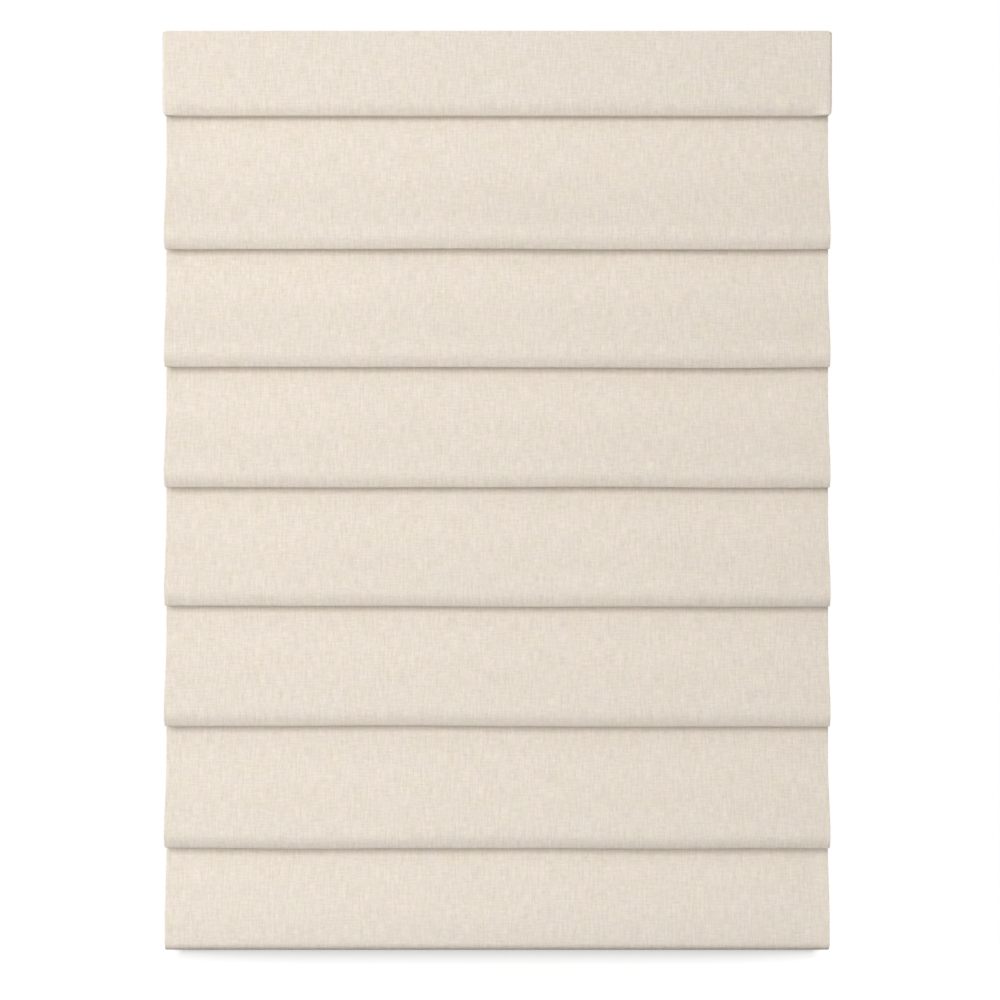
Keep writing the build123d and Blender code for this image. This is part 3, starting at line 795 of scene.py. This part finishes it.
@dataclass
class Sheet:
    """A sheet of cloth as a grid of points, with rows down its length and columns across it."""

    name: str
    middle: np.ndarray
    weave: np.ndarray
    thickness: float
    rim_round: float = 0.0
    rim_segments: int = 3
    rim_angle: float = math.radians(60)

    def build(self, finish: Finish, slot: Slot, body: Body) -> bpy.types.Object:
        """Make the sheet's closed mesh.

        Args:
            finish: what its material looks like.
            slot: the record's slot of that finish; not used.
            body: what it rides on.

        Returns:
            The finished object.
        """
        rows, columns = self.middle.shape[:2]
        index = np.arange(rows * columns).reshape(rows, columns)
        quads = np.stack([index[:-1, :-1], index[1:, :-1], index[1:, 1:], index[:-1, 1:]], axis=-1)
        mesh = bpy.data.meshes.new(self.name)
        mesh.from_pydata(self.middle.reshape(-1, 3).tolist(), [], quads.reshape(-1, 4).tolist())
        layer = mesh.uv_layers.new(name=WEAVE)
        layer.data.foreach_set("uv", self.weave.reshape(-1, 2)[quads.reshape(-1)].ravel())
        piece = add_object(self.name, mesh)
        self._thicken(piece)
        piece.data.materials.append(finish.material())
        finish_piece(piece, body)
        return piece

    def _thicken(self, piece: bpy.types.Object) -> None:
        """Give the sheet its thickness and round its rims, then apply both.

        Args:
            piece: the object of the sheet's middle.
        """
        solid = piece.modifiers.new("thickness", "SOLIDIFY")
        solid.thickness = self.thickness
        solid.offset = 0.0
        if self.rim_round > 0:
            rim = piece.modifiers.new("rim", "BEVEL")
            rim.width = self.rim_round
            rim.segments = self.rim_segments
            rim.limit_method = "ANGLE"
            rim.angle_limit = self.rim_angle
        depsgraph = bpy.context.evaluated_depsgraph_get()
        settled = bpy.data.meshes.new_from_object(
            piece.evaluated_get(depsgraph), preserve_all_data_layers=True, depsgraph=depsgraph
        )
        piece.modifiers.clear()
        piece.data = settled


@dataclass(frozen=True)
class StitchRow:
    """One straight row of machine stitches, lying on cloth that faces backwards.

    The profile gives each ring's place along the stitch, its width and its lift, as shares.
    """

    start: Vector
    end: Vector
    pitch: float = 0.0034
    stitch: float = 0.0025
    radius: float = 0.00024
    sides: int = 5
    profile: tuple[Triple, ...] = ((-0.5, 0.35, -0.6), (-0.3, 0.9, 0.35), (0.3, 0.9, 0.35), (0.5, 0.35, -0.6))

    def mesh_data(self) -> tuple[np.ndarray, list[list[int]]]:
        """Repeat one stitch along the row.

        Returns:
            Vertices and faces of every stitch.
        """
        run = self.end - self.start
        count = int(run.length / self.pitch)
        along = np.array(run.normalized())
        up = np.array([0.0, 1.0, 0.0])
        side = np.cross(along, up)
        angles = np.arange(self.sides) * 2 * math.pi / self.sides
        round_points = np.cos(angles)[:, None] * side + np.sin(angles)[:, None] * up
        stitch = np.concatenate([
            along * place * self.stitch + up * lift * self.radius + round_points * width * self.radius
            for place, width, lift in self.profile
        ])
        faces = []
        for low in range(0, (len(self.profile) - 1) * self.sides, self.sides):
            high = low + self.sides
            for corner in range(self.sides):
                after = (corner + 1) % self.sides
                faces.append([low + corner, low + after, high + after, high + corner])
        faces.append(list(range(self.sides))[::-1])
        faces.append(list(range(len(stitch) - self.sides, len(stitch))))
        places = np.array(self.start) + along * self.pitch * (np.arange(count)[:, None] + 0.5)
        vertices = (places[:, None, :] + stitch[None]).reshape(-1, 3)
        every = [
            [vertex + number * len(stitch) for vertex in face] for number in range(count) for face in faces
        ]
        return vertices, every


def sew(name: str, rows: list[StitchRow], body: Body | str) -> bpy.types.Object:
    """Make one piece of several rows of stitches.

    Args:
        name: the piece's name.
        rows: the rows that it joins.
        body: what it rides on.

    Returns:
        The finished object.
    """
    vertices: list[list[float]] = []
    faces: list[list[int]] = []
    for row in rows:
        row_vertices, row_faces = row.mesh_data()
        faces += [[vertex + len(vertices) for vertex in face] for face in row_faces]
        vertices += row_vertices.tolist()
    mesh = bpy.data.meshes.new(name)
    mesh.from_pydata(vertices, [], faces)
    mesh.materials.append(THREAD.material())
    piece = add_object(name, mesh)
    finish_piece(piece, body)
    return piece


@dataclass
class LiftMotion:
    """Where cloth would gather as the blind rises: towards the valance's lower edge."""

    joint: str = "blind_lift"
    gather_z: float = field(default_factory=lambda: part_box("valance")[0].z)
    last_stitch_z: float = field(default_factory=lambda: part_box("hem_panel")[1].z)

    def gather(self, piece: bpy.types.Object) -> None:
        """Give a piece its own mesh, and work out from the joint's travel the share of height that the full
        lift would keep, which nothing uses.

        Args:
            piece: the piece of cloth.
        """
        travel = next(joint["range_m"][1] for joint in frame["joints"] if joint["name"] == self.joint)
        keep = 1 - travel / (self.gather_z - self.last_stitch_z)
        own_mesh(piece)


@dataclass
class FaceCloth:
    """The face fabric: six soft folds that hang from the stitched ribs."""

    thickness: float = 0.0005
    hem_width: float = 0.030
    fold_depth: float = 0.031
    lip_radius: float = 0.0026
    lip_width: float = 0.007
    lean_depth: float = 0.0078
    lean_rise: float = 0.014
    lean_radius: float = 0.028
    crown_rise: float = 0.029
    crown_radius: float = 0.040
    swell_rise: float = 0.104
    swell_radius: float = 0.090
    rib_rise: float = 0.027
    stitch_rise: float = 0.032
    stitch_radius: float = 0.0005
    droop: float = 0.0007
    droop_trend: float = 0.0012
    droop_base: float = 0.0014
    droop_waves: Undulation = Undulation(0.30, 37)
    trend_span: Pair = (-0.2, 0.4)
    swell_change: float = 0.035
    swell_waves: Undulation = Undulation(0.34, 11)
    ripple: float = 0.0011
    ripple_waves: Undulation = Undulation(0.22, 23)
    ripple_start: float = 0.03
    corner_width: float = 0.0035
    corner_rise: float = 0.0024
    corner_roundness: float = 0.96
    corner_height: float = 0.018
    corner_below: float = 0.001
    corner_forward: Pair = (0.002, 0.012)
    front_y: float = field(default_factory=lambda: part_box("lining")[0].y - PACKED_CLOTH)

    def lips(self) -> list[float]:
        """Height of each fold's lowest line."""
        rods = [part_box(f"rib_rod_{rib}") for rib in range(1, RIB_COUNT + 1)]
        return [(low.z + high.z) / 2 - self.rib_rise for low, high in rods]

    def section(self, top_z: float) -> BentLine:
        """Draw the cloth's face line down to the last stitch.

        Args:
            top_z: the height that it starts from.

        Returns:
            The line, as distance out and height.
        """
        corners: list[Pair] = [(0.0, top_z)]
        radii: list[float] = []
        lip_out = self.fold_depth - self.lean_depth
        for lip in self.lips():
            corners += [
                (0.0, lip + self.swell_rise),
                (self.fold_depth, lip + self.crown_rise),
                (self.fold_depth, lip + self.lean_rise),
                (lip_out, lip),
                (lip_out - self.lip_width, lip),
                (0.0, lip + self.stitch_rise),
            ]
            radii += [self.swell_radius, self.crown_radius, self.lean_radius]
            radii += [self.lip_radius, self.lip_radius, self.stitch_radius]
        return BentLine(tuple(corners), tuple(radii[:-1]))

    def build(self, lift: LiftMotion) -> None:
        """Make the still top of the cloth and its folds.

        Args:
            lift: where the folds start.
        """
        low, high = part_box("face_fabric")
        weft = Weft(high.x, self.thickness, self.hem_width)
        top_line = BentLine(((0.0, high.z), (0.0, lift.gather_z))).points()
        folds_line = self.section(lift.gather_z).points()
        top = self._sheet("face_cloth_top", top_line, weft, 0.0)
        folds = self._sheet("face_cloth_folds", folds_line, weft, high.z - lift.gather_z)
        for piece, line, hang in ((top, top_line, Hang.HUNG), (folds, folds_line, Hang.FOLDED)):
            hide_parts("face_fabric")
            cut_width = float(weft.columns()[2][-1])
        lift.gather(folds)

    def _sheet(self, name: str, line: np.ndarray, weft: Weft, woven_from: float) -> bpy.types.Object:
        """Make one stretch of the cloth.

        Args:
            name: the piece's name.
            line: its face line, as distance out and height.
            weft: its columns.
            woven_from: how far down the cut cloth it starts.

        Returns:
            The finished object.
        """
        across, depth, cut_across = weft.columns()
        out, height, facing = lay_over(line, depth)
        along = lengths_along(line)[:, None]
        forward = np.clip(line[:, :1] / self.fold_depth, 0, 1)
        out = out * (1 + self.swell_change * self.swell_waves.at(across[None], height))
        slack = self.ripple_waves.share(across[None], height)
        out = out + self.ripple * slack * facing * smooth_step(0, self.ripple_start, along)
        trend = self.droop_base + smooth_step(*self.trend_span, across)[None] * self.droop_trend
        height = height - (trend - self.droop * self.droop_waves.at(across[None], height)) * forward
        height = height + self._corner_lift(line, across, weft.half_width)
        middle = grid(across[None], self.front_y - out, height)
        weave = grid(cut_across[None], along + woven_from)
        return Sheet(name, middle, weave, self.thickness).build(LINEN, Slot.FACE_CLOTH, Body.FIXED)

    def _corner_lift(self, line: np.ndarray, across: np.ndarray, half_width: float) -> np.ndarray:
        """Turn up the side corners of the lips.

        Args:
            line: the face line, as distance out and height.
            across: the columns' places.
            half_width: half the cloth's width.

        Returns:
            How far each point rises.
        """
        near_side = side_rounding(across, half_width, self.corner_width, self.corner_roundness)[None]
        near_lip = np.zeros(len(line))
        for lip in self.lips():
            above = line[:, 1] - lip
            near_lip += (1 - smooth_step(0, self.corner_height, above)) * (above > -self.corner_below)
        near_lip = np.clip(near_lip, 0, 1) * smooth_step(*self.corner_forward, line[:, 0])
        return self.corner_rise * near_side * near_lip[:, None]


@dataclass
class HemPanel:
    """The last stretch of cloth, folded round the bottom bar."""

    thickness: float = 0.0005
    hem_width: float = 0.030
    lean_start: float = 0.1257
    lean_end: float = 0.050
    bend_radius: float = 0.060
    shoulder_radius: float = 0.095
    roll_radius: float = 0.0108
    sag: float = 0.0012
    ripple: float = 0.0009
    ripple_waves: Undulation = Undulation(0.26, 51)
    ripple_start: float = 0.04
    pucker_x: float = 0.433
    pucker_width: float = 0.009
    pucker_depth: float = 0.0018
    bar_margin: float = 0.030
    woven_from: float = 1.6

    def build(self, cloth: FaceCloth) -> None:
        """Make the sleeve, front and back, with its side hems.

        Args:
            cloth: the face cloth that it continues.
        """
        low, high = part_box("hem_panel")
        bar_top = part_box("bottom_bar")[1].z
        front_out = cloth.front_y - low.y
        back_out = cloth.front_y - high.y
        corners = (
            (0.0, high.z),
            (0.0, low.z + self.lean_start),
            (front_out, low.z + self.lean_end),
            (front_out, low.z - self.sag),
            (back_out, low.z - self.sag),
            (back_out, high.z),
        )
        radii = (self.bend_radius, self.shoulder_radius, self.roll_radius, self.roll_radius)
        line = BentLine(corners, radii).points()
        across, depth, cut_across = Weft(high.x, self.thickness, self.hem_width).columns()
        out, height, facing = lay_over(line, depth)
        along = lengths_along(line)[:, None]
        facing = facing * smooth_step(0.0, self.ripple_start, along)
        slack = self.ripple_waves.share(across[None], height)
        pucker = np.exp(-(((across - self.pucker_x) / self.pucker_width) ** 2))[None]
        clear_of_bar = smooth_step(bar_top, bar_top + self.bar_margin, height)
        out = out - (self.ripple * slack + self.pucker_depth * pucker) * facing * clear_of_bar
        middle = grid(across[None], cloth.front_y - out, height)
        weave = grid(cut_across[None], along + self.woven_from)
        piece = Sheet("hem_sleeve", middle, weave, self.thickness).build(LINEN, Slot.FACE_CLOTH, Body.BOTTOM)
        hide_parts("hem_panel")


@dataclass
class Lining:
    """The flat lining behind the folds, with a hand-sewn hem down each side."""

    thickness: float = 0.0007
    hem_width: float = 0.020
    hem_swell: float = 0.00025
    hem_edge: float = 0.001
    ripple: float = 0.0003
    ripple_waves: Undulation = Undulation(0.4, 71)
    stitch_pitch: float = 0.011
    stitch_length: float = 0.0035
    stitch_inset: float = 0.0015
    stitch_end: float = 0.002

    def build(self, lift: LiftMotion) -> None:
        """Make the still top and the lower part, each with its hem stitches.

        Args:
            lift: where the lower part starts.
        """
        low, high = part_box("lining")
        spans = (("top", high.z, lift.gather_z), ("drop", lift.gather_z, low.z))
        for name, upper, lower in spans:
            sheet = self._sheet(f"lining_{name}", upper, lower, high.z)
            rows = []
            for side in (-1, 1):
                x = side * (high.x - self.hem_width + self.stitch_inset)
                start = Vector((x, high.y + self.hem_swell, upper - self.stitch_end))
                end = Vector((x, high.y + self.hem_swell, lower + self.stitch_end))
                rows.append(StitchRow(start, end, self.stitch_pitch, self.stitch_length))
            stitches = sew(f"lining_{name}_stitches", rows, Body.FIXED)
            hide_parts("lining")
            if name == "drop":
                lift.gather(sheet)
                lift.gather(stitches)

    def _sheet(self, name: str, upper: float, lower: float, woven_top: float) -> bpy.types.Object:
        """Make one stretch of the lining.

        Args:
            name: the piece's name.
            upper: its top edge's height.
            lower: its lower edge's height.
            woven_top: the height where the cut cloth starts.

        Returns:
            The finished object.
        """
        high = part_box("lining")[1]
        across, _, cut_across = Weft(high.x, self.thickness).columns()
        heights = BentLine(((0.0, upper), (0.0, lower))).points()[:, 1:]
        ease = self.ripple * np.clip(self.ripple_waves.at(across[None], heights), 0, 1)
        hem_x = high.x - self.hem_width
        hem = self.hem_swell * smooth_step(hem_x - self.hem_edge, hem_x, np.abs(across))
        back = high.y - self.thickness / 2 + hem[None] - ease
        middle = grid(across[None], back, heights)
        weave = grid(cut_across[None], woven_top - heights)
        return Sheet(name, middle, weave, self.thickness).build(LINING, Slot.LINING_CLOTH, Body.FIXED)


@dataclass(frozen=True)
class Roll:
    """How a lower edge turns in: how far it leans back, its round, its width and the rise behind."""

    lean: float
    radius: float
    width: float
    rise: float

    def towards(self, other: "Roll", share: float) -> "Roll":
        """A roll part of the way to another."""
        pairs = zip(astuple(self), astuple(other))
        return Roll(*(mine + (theirs - mine) * share for mine, theirs in pairs))


@dataclass
class Valance:
    """The stiffened band in front of the headrail, with returns round its ends."""

    thickness: float = 0.0019
    corner_radius: float = 0.0045
    lean_rise: float = 0.013
    lean_radius: float = 0.024
    front_roll: Roll = Roll(0.008, 0.0045, 0.012, 0.024)
    side_roll: Roll = Roll(0.0008, 0.0020, 0.0042, 0.012)
    roll_taper: float = 0.030
    corner_drop: float = 0.0045
    corner_rise: float = 0.0030
    corner_span: float = 0.008
    corner_roundness: float = 0.97
    rim_round: float = 0.0007
    face_ripple: float = 0.0005
    ripple_waves: Undulation = Undulation(0.28, 91)
    woven_from: Pair = (0.3, 2.2)
    section_steps: tuple[int, ...] = (14, 6, 2, 8, 2, 8, 4)
    corner_columns: int = 7
    end_columns: int = 8
    end_share: float = 0.2
    end_crowding: float = 1.6
    front_columns: int = 90
    return_columns: int = 10

    def build(self) -> None:
        """Make the band from its plan line and a section that changes along it."""
        low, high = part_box("valance")
        plan = self._plan(low, high)
        inward = -right_hand(plan)
        cut_across = lengths_along(plan)
        from_middle = np.abs(plan[:, 0])
        on_side = smooth_step(high.x - self.roll_taper, high.x - self.corner_radius, from_middle)
        rounding = side_rounding(from_middle, high.x, self.corner_span, self.corner_roundness)
        columns, woven = [], []
        for point, side, blunt, turned, distance in zip(plan, inward, on_side, rounding, cut_across):
            section = self._section(low.z, high.z, float(blunt), float(turned))
            insets, heights = -section[:, 0], section[:, 1]
            along = lengths_along(section)
            columns.append(grid(point[0] + side[0] * insets, point[1] + side[1] * insets, heights))
            woven.append(grid(distance, along))
        middle = np.stack(columns, axis=1)
        middle[:, :, 1] += np.abs(self.face_ripple * self.ripple_waves.at(middle[:, :, 0], middle[:, :, 2]))
        weave = np.stack(woven, axis=1) + np.array(self.woven_from)
        piece = Sheet("valance_cloth", middle, weave, self.thickness, self.rim_round)
        band = piece.build(LINEN, Slot.FACE_CLOTH, Body.FIXED)
        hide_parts("valance")

    def _plan(self, low: Vector, high: Vector) -> np.ndarray:
        """Draw the band's outer line as seen from above.

        Args:
            low: the valance box's lowest corner.
            high: its highest corner.

        Returns:
            Points from the left return's end to the right one's.
        """
        radius = self.corner_radius
        turn = np.linspace(0, math.pi / 2, self.corner_columns)
        front_half = high.x - radius
        crowded = np.linspace(self.end_share, 1.0, self.end_columns) ** self.end_crowding
        near_end = front_half - self.roll_taper * crowded
        middle = np.linspace(-near_end[-1], near_end[-1], self.front_columns)[1:-1]
        front_x = np.concatenate([-near_end, middle, near_end[::-1]])
        return_y = np.linspace(high.y, low.y + radius, self.return_columns)[:-1]
        left = np.concatenate([
            np.stack([np.full_like(return_y, -high.x), return_y], axis=1),
            np.stack([-front_half - radius * np.cos(turn), low.y + radius * (1 - np.sin(turn))], axis=1),
        ])
        front = np.stack([front_x, np.full_like(front_x, low.y)], axis=1)
        return np.concatenate([left, front, left[::-1] * np.array([-1, 1])])

    def _section(self, bottom: float, top: float, blunt: float, turned: float) -> np.ndarray:
        """Draw the band's section at one place along its plan.

        Args:
            bottom: height of the lower edge.
            top: height of the upper edge.
            blunt: 0 on the front, where the lower edge rolls wide, to 1 at the sides.
            turned: 0 on the front to nearly 1 at the sides, where both edges round off.

        Returns:
            Points from the top down, as distance out from the face and height.
        """
        roll = self.front_roll.towards(self.side_roll, blunt)
        skin = self.thickness / 2
        bottom_z = bottom + self.corner_rise * turned
        heel = -skin - roll.lean - roll.width
        corners = (
            (-skin, top - self.corner_drop * turned),
            (-skin, bottom_z + self.lean_rise),
            (-skin - roll.lean, bottom_z + skin),
            (heel, bottom_z + skin),
            (heel, bottom_z + roll.rise),
        )
        radii = (self.lean_radius, roll.radius - skin, roll.radius - skin)
        return BentLine(corners, radii).points(self.section_steps)


@dataclass
class Ribs:
    """The six ribs: rods in pocket tapes sewn to the lining, with eyes for the lift cords."""

    row_offset: float = 0.0047
    end_margin: float = 0.004
    tape_strip: float = 0.0005

    def build(self) -> None:
        """Dress the ribs and sew their tapes."""
        for rib in range(1, RIB_COUNT + 1):
            dress(RIB_TAPE, f"rib_pocket_{rib}")
            dress(FIBRE, f"rib_rod_{rib}")
            low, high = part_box(f"rib_pocket_{rib}")
            tape_back = low.y + self.tape_strip
            rows = []
            for side in (-1, 1):
                z = (low.z + high.z) / 2 + side * self.row_offset
                start = Vector((low.x + self.end_margin, tape_back, z))
                end = Vector((high.x - self.end_margin, tape_back, z))
                rows.append(StitchRow(start, end))
            body = f"rib_{rib}" if rib < RIB_COUNT else Body.BOTTOM
            sew(f"rib_tape_stitches_{rib}", rows, body)
        dress(WHITE_MOULDING, *[f"cord_eyes_{rib}" for rib in range(1, RIB_COUNT)], "cord_anchors")


@dataclass
class Headrail:
    """The channel with its end caps, brackets, clips and tapes."""

    sides: tuple[str, ...] = ("left", "right")

    def build(self) -> None:
        """Dress the headrail's pieces."""
        dress(POWDER_COAT, "headrail_channel")
        dress(WHITE_MOULDING, *[f"end_cap_{side}" for side in self.sides], "cord_bushes")
        dress(ZINC, *[f"bracket_{side}" for side in self.sides])
        dress(SPRING_STEEL, "valance_clips")
        dress(HOOKS, "hook_tape")
        dress(LOOPS, "loop_tape")


@dataclass
class LiftWorks:
    """The lift shaft, its three spools in their cradles, and the spring motor."""

    places: tuple[str, ...] = ("left", "centre", "right")

    def build(self) -> None:
        """Dress the lift's pieces."""
        dress(ZINC, "lift_shaft", "storage_axle")
        dress(WHITE_MOULDING, *[f"spool_cradle_{place}" for place in self.places])
        dress(ACETAL, *[f"lift_spool_{place}" for place in self.places])
        dress(ACETAL, "motor_output_drum", "motor_storage_drum")
        dress(DARK_MOULDING, "motor_case", "motor_cover")
        dress(SPRING_STEEL, "spring_band")


@dataclass
class BottomBar:
    """The weight bar in the hem with its two end plugs."""

    def build(self) -> None:
        """Dress the bar and plugs."""
        dress(ALUMINIUM, "bottom_bar")
        dress(WHITE_MOULDING, "bar_plug_left", "bar_plug_right")


@dataclass(frozen=True)
class SoftLamp:
    """One square soft lamp that faces the blind's middle."""

    name: str
    place: Triple
    size: float
    power: float
    aim: Triple = (0.0, 0.0, -0.6)

    def hang(self) -> None:
        """Hang the lamp."""
        lamp_data = bpy.data.lights.new(self.name, "AREA")
        lamp_data.size = self.size
        lamp_data.energy = self.power
        lamp = add_object(self.name, lamp_data)
        lamp.location = self.place
        lamp.rotation_euler = (Vector(self.aim) - Vector(self.place)).to_track_quat("-Z", "Y").to_euler()


@dataclass
class Studio:
    """Camera, soft lamps and a pale floor just under the blind, with the blind's contact shadow painted on
    it.
    """

    camera_distance: float = 4.0
    camera_x: float = 0.00385
    camera_z: float = -0.641
    lens: float = 104.8
    sensor: float = 36.0
    lamps: tuple[SoftLamp, ...] = (
        SoftLamp("key_lamp", (-1.35, -4.4, -0.04), 2.9, 200.0),
        SoftLamp("top_lamp", (-0.8, -3.2, 2.6), 2.0, 18.0),
        SoftLamp("back_lamp", (1.6, 4.4, 0.6), 3.0, 175.0),
        SoftLamp("left_lamp", (-4.2, 1.3, -0.5), 2.4, 90.0),
        SoftLamp("right_lamp", (4.2, 1.3, -0.5), 2.4, 90.0),
    )
    sky: float = 0.12
    sky_colour: Colour = (1.0, 0.90, 0.75, 1)
    floor_gap: float = 0.0015
    floor_front: float = 0.46
    floor_half: float = 2.0
    floor_colour: Colour = (0.30, 0.30, 0.30, 1)
    floor_glow: float = 1.03
    # painted bounce light: the floor glows this much onto the blind, though it is no lamp
    floor_bounce: float = 0.08
    # painted shadow: the floor's glow darkens by ambient occlusion within contact_reach of the blind, never
    # below contact_least, and fades out near the hem's ends
    contact_reach: float = 0.26
    contact_samples: int = 32
    contact_least: float = 0.47
    contact_inset: float = 0.004
    contact_fade: float = 0.022

    def build(self, cloth: FaceCloth) -> None:
        """Place the camera, lamps, sky and floor.

        Args:
            cloth: the face cloth, which the camera's distance is measured from.
        """
        scene = bpy.context.scene
        scene.view_settings.view_transform = "Standard"
        camera_data = bpy.data.cameras.new("studio_camera")
        camera_data.lens = self.lens
        camera_data.sensor_width = self.sensor
        camera = add_object("studio_camera", camera_data)
        camera.location = (self.camera_x, cloth.front_y - self.camera_distance, self.camera_z)
        camera.rotation_euler = (math.pi / 2, 0, 0)
        scene.camera = camera
        for lamp in self.lamps:
            lamp.hang()
        self._sky(scene)
        self._floor()

    def _sky(self, scene: bpy.types.Scene) -> None:
        """Light softly from all round, and show plain white behind the blind.

        Args:
            scene: the scene that takes the sky.
        """
        world = bpy.data.worlds.new("studio_sky")
        world.use_nodes = True
        scene.world = world
        graph = Graph(world.node_tree)
        seen = self._seen(graph)
        colour = graph.mix(seen, self.sky_colour, WHITE)
        strength = self.sky + seen * (1 - self.sky)
        sky = graph.node("ShaderNodeBackground", {}, {"Color": colour, "Strength": strength})
        graph.node("ShaderNodeOutputWorld", {}, {"Surface": sky})

    @staticmethod
    def _seen(graph: Graph) -> Value:
        """1 for rays from the camera, direct or by a gleam, and 0 for light on the blind."""
        camera = graph.node("ShaderNodeLightPath", outlet="Is Camera Ray")
        return camera.at_least(camera.outlet("Is Glossy Ray")).at_least(camera.outlet("Is Transmission Ray"))

    def _floor(self) -> None:
        """Lay the floor, which glows white for the camera, with the blind's contact shadow painted into that
        glow; its matte part also takes real shadows from the lamps, and its faint glow lights the blind as
        painted bounce light.
        """
        low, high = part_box("hem_panel")
        ends = ((-1, 1), (1, 1), (1, 0), (-1, 0))
        floor_z = low.z - self.floor_gap
        corners = [(side * self.floor_half, -front * self.floor_front, floor_z) for side, front in ends]
        mesh = bpy.data.meshes.new("studio_floor")
        mesh.from_pydata(corners, [], [(0, 1, 2, 3)])
        material = bpy.data.materials.new("studio_floor")
        material.use_nodes = True
        graph = Graph(material.node_tree)
        matte = graph.node("ShaderNodeBsdfDiffuse", {}, {"Color": self.floor_colour})
        # painted shadow: the glow's colour is the contact shade from ambient occlusion and a mask across the
        # width
        colour = graph.mix(self._painted_contact_shadow(graph, high.x - self.contact_inset), BLACK, WHITE)
        # the same glow lights the blind at floor_bounce, as painted bounce light
        strength = self._seen(graph) * (self.floor_glow - self.floor_bounce) + self.floor_bounce
        glow = graph.node("ShaderNodeEmission", {}, {"Color": colour, "Strength": strength})
        both = graph.node("ShaderNodeAddShader", {}, {0: matte, 1: glow})
        graph.node("ShaderNodeOutputMaterial", {}, {"Surface": both})
        mesh.materials.append(material)
        add_object("studio_floor", mesh)

    def _painted_contact_shadow(self, graph: Graph, shade_half: float) -> Value:
        """Paint the blind's contact shadow from how open the floor lies, as ambient occlusion, faded out
        towards the hem's ends.

        Args:
            graph: where the nodes go.
            shade_half: half the shade's width.

        Returns:
            From the darkest share of the shade up to 1 in the open.
        """
        settings, sockets = {"samples": self.contact_samples}, {"Distance": self.contact_reach}
        around = graph.node("ShaderNodeAmbientOcclusion", settings, sockets, "AO")
        openness = around.at_least(self.contact_least)
        from_middle = abs(graph.node("ShaderNodeSeparateXYZ", {}, {0: graph.place()}))
        # painted shadow fades out over contact_fade inside the hem's ends, by place alone
        beyond = graph.node(
            "ShaderNodeMath",
            {"operation": "DIVIDE", "use_clamp": True},
            {0: from_middle - (shade_half - self.contact_fade), 1: self.contact_fade},
        )
        return openness + beyond * (1.0 - openness)


def main() -> None:
    """Build the blind's classes in order, then the studio."""
    logging.basicConfig(level=logging.INFO, format="%(name)s: %(message)s")
    lift = LiftMotion()
    cloth = FaceCloth()
    cloth.build(lift)
    HemPanel().build(cloth)
    Lining().build(lift)
    Valance().build()
    Ribs().build()
    Headrail().build()
    LiftWorks().build()
    BottomBar().build()
    Studio().build(cloth)


if __name__ == "__main__":
    main()
